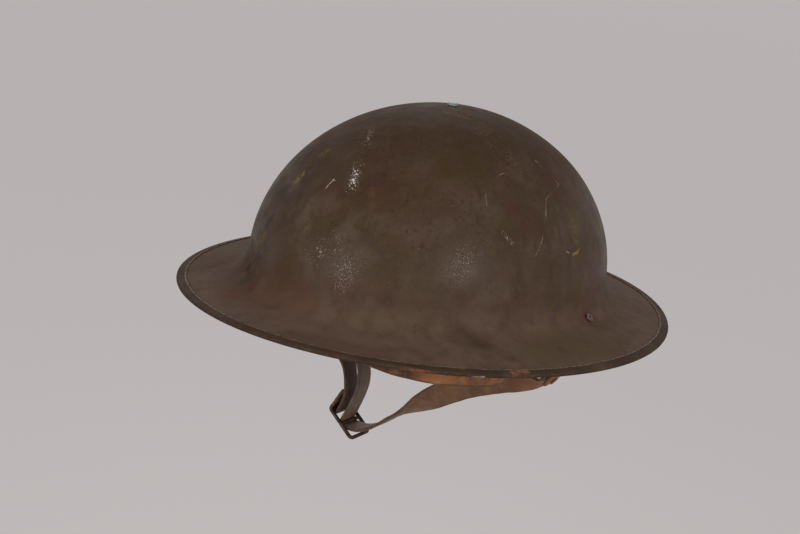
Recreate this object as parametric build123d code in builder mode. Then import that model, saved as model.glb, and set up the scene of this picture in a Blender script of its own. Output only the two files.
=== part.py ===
"""Steel helmet with a shallow bowl and a wide brim, with its liner and its leather chin strap.

Millimetres. X runs across the helmet (its left side is -X), Y from front to back (front is -Y)
and Z up. The origin lies on the crown's axis, at the level of the brim's edge.
"""

import os
from math import acos, atan2, cos, degrees, hypot, pi, radians, sin, sqrt, tan

from build123d import *

os.makedirs("parts", exist_ok=True)

# Driving dimensions of the shell
bowl_half_width = 100.4
bowl_half_length = 121.2
crown_height = 113.5
bowl_centre_height = 19.6
wall_above_centre = 4.4
brim_side_width = 41.6
brim_end_width = 36.8
brim_slope = 15.0
sheet_thickness = 0.9
flare_steps = 6

# The folded strip round the brim's edge
rim_band_width = 5.8
rim_wall = 0.5
rim_clearance = 0.14
rim_land_margin = 1.2
rim_joint_gap = 1.2
rim_joint_angle = -140.0

# Crown rivet, with what it clamps
crown_rivet_head_diameter = 6.5
crown_rivet_head_height = 1.3
crown_rivet_shank_diameter = 3.0
crown_hole_clearance = 0.15
crown_pad_diameter = 52.0
crown_pad_thickness = 3.0
crown_washer_diameter = 19.0
crown_washer_thickness = 0.8
crown_clinch_diameter = 6.0
crown_clinch_height = 1.0
stack_clearance = 0.1

# Liner: cap, net, headband and the hoop that stands it off the shell
liner_stand_off = 18.4
liner_foot_height = 6.0
cap_thickness = 0.8
net_gap = 4.0
net_cord_diameter = 1.2
net_foot_height = 10.0
net_mouth_diameter = 46.0
drawstring_diameter = 2.0
soft_clearance = 0.3
headband_thickness = 1.6
headband_height = 28.0
headband_foot_height = -12.0
hoop_thickness = 1.5
hoop_height = 18.0
hoop_foot_height = 7.0
bumper_count = 12
bumper_length = 25.0
bumper_wall = 2.6
bumper_foot_height = 3.5
bumper_rivet_shank_diameter = 2.0
bumper_rivet_head_diameter = 4.6
bumper_rivet_head_height = 0.8
rivet_hole_clearance = 0.1

# Side lugs with their tubular rivets and wire bails
side_rivet_stand_out = 5.3
side_rivet_head_diameter = 5.5
side_rivet_head_height = 0.9
side_rivet_shank_diameter = 2.6
side_rivet_bore_diameter = 1.4
side_rivet_clinch_height = 0.8
lug_thickness = 1.0
lug_width = 12.0
lug_leaf_length = 8.0
lug_tail_length = 4.0
lug_seat_clearance = 0.05
bail_wire_diameter = 2.4
bail_clearance = 0.15
bail_height = 14.0
bail_side_clearance = 0.5
bail_corner_radius = 2.6

# Chin strap and its buckle
strap_width = 16.0
strap_thickness = 2.2
strap_drop = 103.0
strap_turn_clearance = 0.8
strap_joint_clearance = 0.3
strap_swivel_margin = 0.3
strap_rivet_head_diameter = 5.0
strap_rivet_head_height = 0.7
strap_rivet_shank_diameter = 2.4
buckle_wire_diameter = 2.4
buckle_bar_spacing = 11.0
buckle_side_clearance = 0.6
buckle_corner_radius = 2.4
buckle_wrap_clearance = 0.2

overrun = 5.0

# Rounds and bevels, as shares of the piece's own height or thickness
crown_head_round_share = 0.7
side_head_round_share = 0.6
clinch_bevel_share = 0.4
washer_bevel_share = 0.3
headband_round_share = 0.3

# Outline of the strap in the plane of the bails, as shares chosen by hand: across as a share of
# the bails' reach, down as a share of the strap's drop below the bails' lower bars. The long
# strap's points also give its twist in degrees.
strand_start_shares = (0.12, 0.10)
fixed_strand_shares = (
    (-0.915, 0.34),
    (-0.735, 0.485),
    (-0.565, 0.585),
    (-0.478, 0.69),
    (-0.466, 0.79),
)
running_strand_shares = (
    (-0.86, 0.265),
    (-0.66, 0.39),
    (-0.455, 0.49),
    (-0.381, 0.60),
    (-0.383, 0.745),
)
buckle_place_share = (-0.449, 0.963)
buckle_tilt = -38.8
fixed_end_share = (-0.487, 0.76)
long_strap_foot_shares = ((-0.345, 0.985), (-0.262, 0.945))
long_strap_shares = (
    (-0.179, 0.884, 0),
    (-0.116, 0.830, -8),
    (-0.029, 0.768, -30),
    (0.047, 0.698, -55),
    (0.150, 0.620, -90),
    (0.335, 0.510, -82),
    (0.550, 0.417, -65),
    (0.656, 0.386, -50),
    (0.747, 0.362, -33),
    (0.820, 0.340, -12),
    (0.885, 0.310, 0),
)
right_rise_share = (0.9375, 0.236)
right_rise_end_share = 0.12
right_fold_start_share = 0.10
lap_share = 0.98
strap_rivet_share = 0.35
bend_share = 0.42

# Worked out from the sizes above
slope = radians(brim_slope)
brim_half_width = bowl_half_width + brim_side_width
brim_half_length = bowl_half_length + brim_end_width
flare_top_height = bowl_centre_height + wall_above_centre
liner_half_width = bowl_half_width - liner_stand_off
side_rivet_reach = bowl_half_width + side_rivet_stand_out
bail_span = strap_width + bail_wire_diameter + 2 * bail_side_clearance
brim_extra_length = brim_half_length - brim_half_width
bowl_extra_length = bowl_half_length - bowl_half_width
bowl_rise = crown_height - bowl_centre_height
edge_half_width = brim_half_width - rim_wall - rim_clearance
edge_top_height = (brim_half_width - edge_half_width) * tan(slope) + sheet_thickness / 2 / cos(slope)


def wall_top(gap):
    """Where the bowl's wall meets the flare, drawn in by a gap: reach, height and lean."""
    rise = bowl_rise - gap
    sine = (flare_top_height - bowl_centre_height) / rise
    cosine = sqrt(1 - sine**2)
    reach = (bowl_half_width - gap) * cosine
    lean = atan2((bowl_half_width - gap) * sine, rise * cosine)
    return reach, flare_top_height, lean


def flare_arc(gap):
    """Centre and radius of the arc that turns the bowl's wall into the sloping brim."""
    reach, height, lean = wall_top(gap)
    edge_height = edge_top_height - gap / cos(slope)
    facing = cos(lean) * sin(slope) + sin(lean) * cos(slope)
    fall = (edge_half_width - reach) * sin(slope) + (edge_height - height) * cos(slope)
    radius = fall / (facing - 1)
    return reach + radius * cos(lean), height + radius * sin(lean), radius


def egg(half_width, half_length, rise, centre_height, floor_height):
    """Solid half egg that stands on a level floor."""
    with BuildPart() as ball:
        Sphere(1)
        scale(by=(half_width, half_length, rise))
    with BuildPart() as body:
        with Locations((0, 0, centre_height)):
            add(ball.part)
        split(bisect_by=Plane.XY.offset(floor_height), keep=Keep.TOP)
    return body.part


def bowl_egg(gap, floor_height):
    """The bowl's own form, drawn in by a gap."""
    half_width = bowl_half_width - gap
    half_length = bowl_half_length - gap
    return egg(half_width, half_length, bowl_rise - gap, bowl_centre_height, floor_height)


def oval_loft(sections, ruled):
    """Solid through level ovals, each given by its half width, half length and height."""
    with BuildPart() as body:
        for half_width, half_length, height in sections:
            with BuildSketch(Plane.XY.offset(height)):
                Ellipse(half_width, half_length)
        loft(ruled=ruled)
    return body.part


def oval_ring(half_width, half_length, thickness, foot_height, height):
    """Upright oval band, measured outside."""
    with BuildPart() as band:
        with BuildSketch(Plane.XY.offset(foot_height)):
            Ellipse(half_width, half_length)
            Ellipse(half_width - thickness, half_length - thickness, mode=Mode.SUBTRACT)
        extrude(amount=height)
    return band.part


def skin(gap, foot_height):
    """Solid inside one surface of the shell: bowl, flare and brim, closed at a level foot."""
    reach, height, lean = wall_top(gap)
    centre_x, centre_z, radius = flare_arc(gap)
    top_length = reach * (bowl_half_length - gap) / (bowl_half_width - gap)
    land_reach = edge_half_width - rim_band_width - rim_land_margin
    stretch = (land_reach + brim_extra_length - top_length) / (land_reach - reach)

    def level(x, z):
        return x, top_length + (x - reach) * stretch, z

    flare = [level(reach, height)]
    for step in range(1, flare_steps + 1):
        turn = lean + (pi / 2 - slope - lean) * step / flare_steps
        flare.append(level(centre_x - radius * cos(turn), centre_z - radius * sin(turn)))
    edge_height = edge_top_height - gap / cos(slope)
    land_height = edge_height + (edge_half_width - land_reach) * tan(slope)
    brim = [flare[-1], (land_reach, land_reach + brim_extra_length, land_height)]
    brim.append((edge_half_width, edge_half_width + brim_extra_length, edge_height))
    pieces = [bowl_egg(gap, height), oval_loft(flare[::-1], False), oval_loft(brim[::-1], True)]
    with BuildPart() as body:
        for piece in pieces:
            add(piece)
        if edge_height - foot_height > 0:
            with BuildSketch(Plane.XY.offset(foot_height)):
                Ellipse(edge_half_width, edge_half_width + brim_extra_length)
            extrude(amount=edge_height - foot_height)
    return body.part


# Side rivet: its place on the flare, facing square to the steel
flare_x, flare_z, flare_radius = flare_arc(0)
rivet_fall = flare_x - side_rivet_reach
side_rivet_height = flare_z - sqrt(flare_radius**2 - rivet_fall**2)
rivet_normal = Vector(rivet_fall / flare_radius, 0, (flare_z - side_rivet_height) / flare_radius)
rivet_seat = Vector(side_rivet_reach, 0, side_rivet_height)
rivet_hole_diameter = side_rivet_shank_diameter + 2 * rivet_hole_clearance
rivet_head_seat = side_rivet_head_diameter**2 / 8 / flare_radius + lug_seat_clearance
rivet_plane = Plane(origin=rivet_seat, x_dir=(0, 1, 0), z_dir=rivet_normal)

# Shell: one pressing, pierced at the crown and at each side
crown_hole_diameter = crown_rivet_shank_diameter + 2 * crown_hole_clearance
shell_foot_height = edge_top_height - sheet_thickness / cos(slope)
shell_outside = skin(0, shell_foot_height)
shell_inside = skin(sheet_thickness, shell_foot_height)
with BuildPart() as shell:
    add(shell_outside)
    add(shell_inside, mode=Mode.SUBTRACT)
    with Locations((0, 0, crown_height)):
        Cylinder(crown_hole_diameter / 2, 2 * overrun, mode=Mode.SUBTRACT)
    with BuildSketch(rivet_plane.offset(overrun)) as side_hole:
        Circle(rivet_hole_diameter / 2)
    side_bore = extrude(side_hole.sketch, amount=-2 * overrun, mode=Mode.SUBTRACT)
    mirror(side_bore, about=Plane.YZ, mode=Mode.SUBTRACT)
shell.part.label = "shell"

# Rim: a strip folded over the brim's edge, its two ends nearly meeting
rim_thickness = sheet_thickness + 2 * rim_clearance + 2 * rim_wall
rim_path_reach = brim_half_width - rim_band_width / 2 * cos(slope)
rim_path_height = rim_band_width / 2 * sin(slope)
rim_joint_sweep = degrees(rim_joint_gap / brim_half_width)
with BuildPart() as rim:
    with BuildLine(Plane.XY.offset(rim_path_height)) as rim_path:
        EllipticalCenterArc(
            (0, 0),
            rim_path_reach,
            rim_path_reach + brim_extra_length,
            start_angle=rim_joint_angle,
            arc_size=360 - rim_joint_sweep,
        )
    rim_start = rim_path.line @ 0
    rim_along = rim_path.line % 0
    rim_outward = rim_along.cross(Vector(0, 0, 1)) * cos(slope) - Vector(0, 0, sin(slope))
    with BuildSketch(Plane(origin=rim_start, x_dir=rim_outward, z_dir=rim_along)):
        SlotOverall(rim_band_width, rim_thickness)
        with Locations((-rim_thickness / 2, 0)):
            Rectangle(rim_band_width - rim_thickness, rim_thickness)
        with Locations((-rim_wall, 0)):
            Rectangle(rim_band_width, sheet_thickness + 2 * rim_clearance, mode=Mode.SUBTRACT)
    sweep(path=rim_path.line, transition=Transition.ROUND)
rim.part.label = "rim"

# Crown rivet: a domed head outside, a shank through the whole stack and a clinched end inside
pad_top_gap = sheet_thickness + stack_clearance
pad_foot_gap = pad_top_gap + crown_pad_thickness
cap_crown_height = crown_height - pad_foot_gap - stack_clearance
cap_rise = cap_crown_height - liner_foot_height
washer_edge_sine = crown_washer_diameter / 2 / (liner_half_width - cap_thickness)
cap_height_at_washer = liner_foot_height + (cap_rise - cap_thickness) * sqrt(1 - washer_edge_sine**2)
washer_top_height = cap_height_at_washer - stack_clearance
clinch_top_height = washer_top_height - crown_washer_thickness - stack_clearance
crown_shank_length = crown_height + stack_clearance - clinch_top_height
with BuildPart() as crown_rivet:
    with BuildSketch(Plane.XY.offset(crown_height + stack_clearance)):
        Circle(crown_rivet_head_diameter / 2)
    extrude(amount=crown_rivet_head_height)
    fillet(crown_rivet.edges().sort_by(Axis.Z)[-1], crown_rivet_head_height * crown_head_round_share)
    with BuildSketch(Plane.XY.offset(clinch_top_height)):
        Circle(crown_rivet_shank_diameter / 2)
    extrude(amount=crown_shank_length)
    with BuildSketch(Plane.XY.offset(clinch_top_height - crown_clinch_height)):
        Circle(crown_clinch_diameter / 2)
    extrude(amount=crown_clinch_height)
    chamfer(crown_rivet.edges().sort_by(Axis.Z)[0], crown_clinch_height * clinch_bevel_share)
crown_rivet.part.label = "crown_rivet"

# Crown pad: a felt disc that follows the bowl and keeps the liner off the rivet
pad_floor_height = crown_height - bowl_rise / 2
pad_outside = bowl_egg(pad_top_gap, pad_floor_height)
pad_inside = bowl_egg(pad_foot_gap, pad_floor_height)
with BuildPart() as crown_pad:
    with BuildSketch(Plane.XY.offset(pad_floor_height)):
        Circle(crown_pad_diameter / 2)
        Circle(crown_hole_diameter / 2, mode=Mode.SUBTRACT)
    extrude(amount=bowl_rise)
    add(pad_outside, mode=Mode.INTERSECT)
    add(pad_inside, mode=Mode.SUBTRACT)
crown_pad.part.label = "crown_pad"

# Crown washer: a flat steel disc under the cap
with BuildPart() as crown_washer:
    with BuildSketch(Plane.XY.offset(washer_top_height - crown_washer_thickness)):
        Circle(crown_washer_diameter / 2)
        Circle(crown_hole_diameter / 2, mode=Mode.SUBTRACT)
    extrude(amount=crown_washer_thickness)
    washer_edge = crown_washer.edges().group_by(Axis.Z)[0].sort_by(SortBy.RADIUS)[-1]
    chamfer(washer_edge, crown_washer_thickness * washer_bevel_share)
crown_washer.part.label = "crown_washer"

# Liner cap: an oilcloth skull cap, open below and held by the crown rivet
liner_half_length = liner_half_width + bowl_extra_length
cap_outside = egg(liner_half_width, liner_half_length, cap_rise, liner_foot_height, liner_foot_height)
cap_inside = egg(
    liner_half_width - cap_thickness,
    liner_half_length - cap_thickness,
    cap_rise - cap_thickness,
    liner_foot_height,
    liner_foot_height,
)
with BuildPart() as liner_cap:
    add(cap_outside)
    add(cap_inside, mode=Mode.SUBTRACT)
    with Locations((0, 0, cap_crown_height)):
        Cylinder(crown_hole_diameter / 2, 2 * overrun, mode=Mode.SUBTRACT)
liner_cap.part.label = "liner_cap"

# Headband: a leather band inside the cap's foot, reaching below the brim
headband_top_height = headband_foot_height + headband_height
cap_lean = (headband_top_height - liner_foot_height) / (cap_rise - cap_thickness)
headband_half_width = (liner_half_width - cap_thickness) * sqrt(1 - cap_lean**2) - soft_clearance
headband_half_length = headband_half_width + bowl_extra_length
with BuildPart() as headband:
    add(
        oval_ring(
            headband_half_width,
            headband_half_length,
            headband_thickness,
            headband_foot_height,
            headband_height,
        )
    )
    fillet(headband.edges().group_by(Axis.Z)[0], headband_thickness * headband_round_share)
headband.part.label = "headband"

# Head net: a twine net hung inside the cap, gathered round an open mouth at the top
net_half_width = headband_half_width - headband_thickness - soft_clearance
net_half_length = net_half_width + bowl_extra_length
net_rise = cap_crown_height - net_gap - net_foot_height - crown_washer_thickness - crown_clinch_height
net_outside = egg(net_half_width, net_half_length, net_rise, net_foot_height, net_foot_height)
net_inside = egg(
    net_half_width - net_cord_diameter,
    net_half_length - net_cord_diameter,
    net_rise - net_cord_diameter,
    net_foot_height,
    net_foot_height,
)
with BuildPart() as head_net:
    add(net_outside)
    add(net_inside, mode=Mode.SUBTRACT)
    with Locations((0, 0, net_foot_height + net_rise)):
        Cylinder(net_mouth_diameter / 2, net_rise, mode=Mode.SUBTRACT)
head_net.part.label = "head_net"

# Drawstring: the cord that closes the net's mouth
drawstring_reach = (net_mouth_diameter - drawstring_diameter) / 2 - soft_clearance
drawstring_share = net_mouth_diameter / 2 / net_half_width
drawstring_height = net_foot_height + net_rise * sqrt(1 - drawstring_share**2) - net_cord_diameter / 2
with BuildPart() as drawstring:
    with Locations((0, 0, drawstring_height)):
        Torus(drawstring_reach, drawstring_diameter / 2)
drawstring.part.label = "drawstring"

# Hoop: the band round the cap that carries the rubber bumpers
hoop_half_width = liner_half_width + soft_clearance + hoop_thickness
hoop_half_length = hoop_half_width + bowl_extra_length
hoop_ring = oval_ring(hoop_half_width, hoop_half_length, hoop_thickness, hoop_foot_height, hoop_height)

# Bumpers: upright rubber tubes between the hoop and the shell, each riveted to the hoop
bumper_top_height = bumper_foot_height + bumper_length
bumper_top_sine = (bumper_top_height - bowl_centre_height) / (bowl_rise - sheet_thickness)
shell_reach = (bowl_half_width - sheet_thickness) * sqrt(1 - bumper_top_sine**2)
bumper_diameter = shell_reach - hoop_half_width - 2 * soft_clearance
bumper_reach = hoop_half_width + soft_clearance + bumper_diameter / 2
bumper_bore = bumper_diameter - 2 * bumper_wall
bumper_height = bumper_foot_height + bumper_length / 2
bumper_places = []
for place in range(bumper_count):
    turn = 2 * pi * (place + 1 / 2) / bumper_count
    middle = Vector(bumper_reach * cos(turn), (bumper_reach + bowl_extra_length) * sin(turn), bumper_height)
    inward = Vector(-cos(turn) / bumper_reach, -sin(turn) / (bumper_reach + bowl_extra_length)).normalized()
    bumper_places.append((middle, inward))

rivet_face = sqrt((bumper_bore / 2) ** 2 - (bumper_rivet_head_diameter / 2) ** 2) - rivet_hole_clearance
rivet_start = rivet_face - bumper_rivet_head_height
rivet_end = bumper_diameter / 2 + soft_clearance + hoop_thickness - rivet_hole_clearance
with BuildPart() as bumper_rivets:
    for middle, inward in bumper_places:
        with BuildSketch(Plane(origin=middle + inward * rivet_start, z_dir=inward)):
            Circle(bumper_rivet_head_diameter / 2)
        extrude(amount=bumper_rivet_head_height)
        with BuildSketch(Plane(origin=middle + inward * rivet_start, z_dir=inward)):
            Circle(bumper_rivet_shank_diameter / 2)
        extrude(amount=rivet_end - rivet_start)
bumper_rivets.part.label = "bumper_rivets"

with BuildPart() as bumper_holes:
    for middle, inward in bumper_places:
        with BuildSketch(Plane(origin=middle, z_dir=inward)):
            Circle(bumper_rivet_shank_diameter / 2 + rivet_hole_clearance)
        extrude(amount=bumper_diameter / 2 + hoop_thickness + overrun / 2)

with BuildPart() as bumpers:
    for middle, inward in bumper_places:
        with BuildSketch(Plane.XY.offset(bumper_foot_height)):
            with Locations((middle.X, middle.Y)):
                Circle(bumper_diameter / 2)
                Circle(bumper_bore / 2, mode=Mode.SUBTRACT)
        extrude(amount=bumper_length)
    add(bumper_holes.part, mode=Mode.SUBTRACT)
bumpers.part.label = "bumpers"

with BuildPart() as bumper_hoop:
    add(hoop_ring)
    add(bumper_holes.part, mode=Mode.SUBTRACT)
bumper_hoop.part.label = "bumper_hoop"

# Side lugs: a steel strip riveted under the flare and rolled round the bail's upper bar
eye_radius = bail_wire_diameter / 2 + bail_clearance
leaf_inward = Vector(-rivet_normal.Z, 0, rivet_normal.X)
leaf_middle = rivet_seat - rivet_normal * (sheet_thickness + lug_seat_clearance + lug_thickness / 2)
eye_place = leaf_middle + leaf_inward * lug_leaf_length - rivet_normal * (eye_radius + lug_thickness / 2)
leaf_plane = Plane(origin=leaf_middle, x_dir=leaf_inward, z_dir=(0, 1, 0))
with BuildPart() as right_lug:
    with BuildSketch(leaf_plane):
        with Locations(((lug_leaf_length - lug_tail_length) / 2, 0)):
            Rectangle(lug_leaf_length + lug_tail_length, lug_thickness)
        with Locations(leaf_plane.to_local_coords(eye_place)):
            Circle(eye_radius + lug_thickness)
            Circle(eye_radius, mode=Mode.SUBTRACT)
    extrude(amount=lug_width / 2, both=True)
    with BuildSketch(rivet_plane.offset(overrun)):
        Circle(rivet_hole_diameter / 2)
    extrude(amount=-2 * overrun, mode=Mode.SUBTRACT)
right_lug.part.label = "right_lug"

# Tubular rivets that hold the lugs: head outside, clinched end under the leaf
clinch_depth = sheet_thickness + 2 * lug_seat_clearance + lug_thickness
with BuildPart() as right_lug_rivet:
    with BuildSketch(rivet_plane.offset(rivet_head_seat)):
        Circle(side_rivet_head_diameter / 2)
    extrude(amount=side_rivet_head_height)
    head_edge = right_lug_rivet.edges().sort_by(Axis((0, 0, 0), rivet_normal))[-1]
    fillet(head_edge, side_rivet_head_height * side_head_round_share)
    with BuildSketch(rivet_plane.offset(rivet_head_seat)):
        Circle(side_rivet_shank_diameter / 2)
    extrude(amount=-(rivet_head_seat + clinch_depth + side_rivet_clinch_height))
    with BuildSketch(rivet_plane.offset(-clinch_depth)):
        Circle(side_rivet_head_diameter / 2)
    extrude(amount=-side_rivet_clinch_height)
    with BuildSketch(rivet_plane.offset(rivet_head_seat + side_rivet_head_height)):
        Circle(side_rivet_bore_diameter / 2)
    extrude(amount=-(side_rivet_head_height + sheet_thickness), mode=Mode.SUBTRACT)
right_lug_rivet.part.label = "right_lug_rivet"

# Wire bails: a closed loop through each lug, hanging straight down
bail_reach = eye_place.X
bail_top_height = eye_place.Z
bar_height = bail_top_height - bail_height
with BuildPart() as right_bail:
    with BuildLine(Plane.YZ.offset(bail_reach)) as bail_path:
        FilletPolyline(
            (bail_span / 2, bail_top_height),
            (bail_span / 2, bar_height),
            (-bail_span / 2, bar_height),
            (-bail_span / 2, bail_top_height),
            radius=bail_corner_radius,
            close=True,
        )
    bail_wire = bail_path.wire()
    with BuildSketch(Plane(origin=bail_wire @ 0, z_dir=bail_wire % 0)):
        Circle(bail_wire_diameter / 2)
    sweep(path=bail_wire)
right_bail.part.label = "right_bail"

with BuildPart() as left_lug:
    mirror(right_lug.part, about=Plane.YZ)
left_lug.part.label = "left_lug"
with BuildPart() as left_lug_rivet:
    mirror(right_lug_rivet.part, about=Plane.YZ)
left_lug_rivet.part.label = "left_lug_rivet"
with BuildPart() as left_bail:
    mirror(right_bail.part, about=Plane.YZ)
left_bail.part.label = "left_bail"


def hung(share):
    """A point of the strap's outline, across and up, from its shares."""
    return Vector(share[0] * bail_reach, bar_height - share[1] * strap_drop)


def touch(start, centre, radius, side):
    """Where a line from a point touches a circle, as a point and its angle on the circle."""
    away = start - centre
    angle = atan2(away.Y, away.X) + side * acos(radius / away.length)
    return centre + Vector(radius * cos(angle), radius * sin(angle)), degrees(angle)


def bend_radii(points):
    """Radius of the bend at each inner point, from the shorter of its two runs."""
    radii = []
    for before, here, after in zip(points, points[1:], points[2:]):
        turn = radians((here - before).get_angle(after - here))
        shorter = min((here - before).length, (after - here).length)
        radii.append(bend_share * shorter / tan(turn / 2))
    return radii


# Chin strap: one leather strap. It is sewn round the buckle's first bar, rises to the left bail,
# turns over its lower bar, falls to the buckle, passes round the middle bar and then runs, with
# a twist, up to the right bail, where it is folded over the bar and riveted.
turn_radius = bail_wire_diameter / 2 + strap_turn_clearance + strap_thickness / 2
wrap_radius = buckle_wire_diameter / 2 + buckle_wrap_clearance + strap_thickness / 2
buckle_middle = hung(buckle_place_share)
buckle_along = Vector(cos(radians(buckle_tilt)), sin(radians(buckle_tilt)))
first_bar = buckle_middle - buckle_along * buckle_bar_spacing
left_bar = Vector(-bail_reach, bar_height)
right_bar = Vector(bail_reach, bar_height)
across = Vector(turn_radius, 0)

fixed_strand = [left_bar - across, left_bar - across - Vector(0, strand_start_shares[0] * strap_drop)]
fixed_strand += [hung(share) for share in fixed_strand_shares]
fixed_touch, fixed_angle = touch(fixed_strand[-1], first_bar, wrap_radius, -1)
fixed_end = hung(fixed_end_share)
tail_touch, tail_angle = touch(fixed_end, first_bar, wrap_radius, 1)
fixed_strand.append(fixed_touch)

running_strand = [left_bar + across, left_bar + across - Vector(0, strand_start_shares[1] * strap_drop)]
running_strand += [hung(share) for share in running_strand_shares]
running_touch, running_angle = touch(running_strand[-1], buckle_middle, wrap_radius, 1)
running_strand.append(running_touch)
long_strap_foot = [hung(share) for share in long_strap_foot_shares + (long_strap_shares[0],)]
leave_touch, leave_angle = touch(long_strap_foot[0], buckle_middle, wrap_radius, -1)
long_strap_foot.insert(0, leave_touch)

right_rise = [hung(long_strap_shares[-1]), hung(right_rise_share)]
right_rise.append(right_bar - across - Vector(0, right_rise_end_share * strap_drop))
right_rise.append(right_bar - across)
right_fold = [right_bar + across, right_bar + across - Vector(0, right_fold_start_share * strap_drop)]
doubled_run = right_rise[1] - right_rise[0]
doubled_out = Vector(doubled_run.Y, -doubled_run.X).normalized()
lap_step = doubled_out * strap_thickness * lap_share
right_fold += [right_rise[1] + lap_step, right_rise[0] + lap_step]

with BuildPart() as flat_strap:
    with BuildSketch(Plane.XZ):
        for run in (fixed_strand, running_strand, long_strap_foot, right_rise, right_fold):
            with BuildLine():
                FilletPolyline(*run, radius=bend_radii(run))
            trace(line_width=strap_thickness)
        for centre, radius, start, size in (
            (left_bar, turn_radius, 0, 180),
            (right_bar, turn_radius, 0, 180),
            (first_bar, wrap_radius, fixed_angle, tail_angle - fixed_angle - 360),
            (buckle_middle, wrap_radius, running_angle, leave_angle - running_angle + 360),
        ):
            with BuildLine():
                CenterArc(centre, radius, start, size)
            trace(line_width=strap_thickness)
        with BuildLine():
            Line(tail_touch, fixed_end)
        trace(line_width=strap_thickness)
    extrude(amount=strap_width / 2, both=True)

long_strap_path = [hung(share) for share in long_strap_shares]
long_strap_path = [long_strap_foot[-2]] + long_strap_path + [right_rise[1]]
with BuildPart() as twisted_strap:
    for number, (across_share, down_share, twist) in enumerate(long_strap_shares):
        before, here, after = long_strap_path[number : number + 3]
        run = after - before
        if number == 0:
            run = here - before
        if number == len(long_strap_shares) - 1:
            run = after - here
        along = Vector(run.X, 0, run.Y).normalized()
        upright = along.cross(Vector(0, 1, 0))
        spread = Vector(0, cos(radians(twist)), 0) + upright * sin(radians(twist))
        with BuildSketch(Plane(origin=(here.X, 0, here.Y), x_dir=spread, z_dir=along)):
            Rectangle(strap_width, strap_thickness)
    loft(ruled=True)

rivet_middle = right_rise[0] + doubled_run * strap_rivet_share + lap_step / 2
strap_rivet_axis = Vector(doubled_out.X, 0, doubled_out.Y)
strap_rivet_origin = (rivet_middle.X, 0, rivet_middle.Y)
strap_rivet_plane = Plane(origin=strap_rivet_origin, x_dir=(0, 1, 0), z_dir=strap_rivet_axis)
with BuildPart() as whole_strap:
    add(flat_strap.part)
    add(twisted_strap.part)
    with BuildSketch(strap_rivet_plane):
        Circle(strap_rivet_shank_diameter / 2 + rivet_hole_clearance)
    extrude(amount=2 * strap_thickness, both=True, mode=Mode.SUBTRACT)

# The strap turns about the bails' lower bars, so it parts from its two ends on a round joint
swivel_radius = hypot(strap_width / 2, turn_radius + strap_thickness / 2) + strap_swivel_margin
swivel_plane = Plane(origin=(0, 0, bar_height), x_dir=(0, 1, 0), z_dir=(1, 0, 0))
swivel_reach = bail_reach + turn_radius + strap_thickness + overrun
with BuildPart() as chin_strap:
    add(whole_strap.part)
    with BuildSketch(swivel_plane):
        Circle(swivel_radius + strap_joint_clearance)
    extrude(amount=swivel_reach, both=True, mode=Mode.SUBTRACT)
chin_strap.part.label = "chin_strap"
with BuildPart() as right_strap_end:
    add(whole_strap.part)
    with BuildSketch(swivel_plane):
        Circle(swivel_radius)
    extrude(amount=swivel_reach, mode=Mode.INTERSECT)
right_strap_end.part.label = "right_strap_end"
with BuildPart() as left_strap_turn:
    add(whole_strap.part)
    with BuildSketch(swivel_plane):
        Circle(swivel_radius)
    extrude(amount=-swivel_reach, mode=Mode.INTERSECT)
left_strap_turn.part.label = "left_strap_turn"

# Rivet that closes the strap's folded end
strap_rivet_reach = strap_thickness + stack_clearance
with BuildPart() as strap_rivet:
    with BuildSketch(strap_rivet_plane):
        Circle(strap_rivet_shank_diameter / 2)
    extrude(amount=strap_rivet_reach, both=True)
    for side in (1, -1):
        with BuildSketch(strap_rivet_plane.offset(side * strap_rivet_reach)):
            Circle(strap_rivet_head_diameter / 2)
        extrude(amount=side * strap_rivet_head_height)
strap_rivet.part.label = "strap_rivet"

# Buckle: a wire frame with a middle bar
buckle_half_span = strap_width / 2 + buckle_side_clearance + buckle_wire_diameter / 2
buckle_x_dir = Vector(buckle_along.X, 0, buckle_along.Y)
buckle_plane = Plane(
    origin=(buckle_middle.X, 0, buckle_middle.Y),
    x_dir=buckle_x_dir,
    z_dir=buckle_x_dir.cross(Vector(0, 1, 0)),
)
with BuildPart() as buckle:
    with BuildLine(buckle_plane) as buckle_path:
        FilletPolyline(
            (buckle_bar_spacing, buckle_half_span),
            (buckle_bar_spacing, -buckle_half_span),
            (-buckle_bar_spacing, -buckle_half_span),
            (-buckle_bar_spacing, buckle_half_span),
            radius=buckle_corner_radius,
            close=True,
        )
    buckle_wire = buckle_path.wire()
    with BuildSketch(Plane(origin=buckle_wire @ 0, z_dir=buckle_wire % 0)):
        Circle(buckle_wire_diameter / 2)
    sweep(path=buckle_wire)
    with BuildSketch(Plane(origin=buckle_plane.origin, x_dir=buckle_x_dir, z_dir=(0, 1, 0))):
        Circle(buckle_wire_diameter / 2)
    extrude(amount=buckle_half_span, both=True)
buckle.part.label = "buckle"

pieces = [shell, rim, crown_rivet, crown_pad, crown_washer, liner_cap, headband, head_net, drawstring]
pieces += [bumper_hoop, bumpers, bumper_rivets, right_lug, right_lug_rivet, right_bail, left_lug]
pieces += [left_lug_rivet, left_bail, chin_strap, left_strap_turn, right_strap_end, strap_rivet, buckle]
for piece in pieces:
    export_step(piece.part, f"parts/{piece.part.label}.step")
    print(piece.part.label, piece.part.is_valid, round(piece.part.volume), len(piece.part.solids()))
print("bails reach", round(bail_reach, 3), "bars at", round(bar_height, 3), round(bail_top_height, 3))
print("buckle at", buckle_middle, "swivel radius", round(swivel_radius, 3))
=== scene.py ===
import math

import bmesh
import bpy
from mathutils import Matrix, Vector, noise


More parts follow.
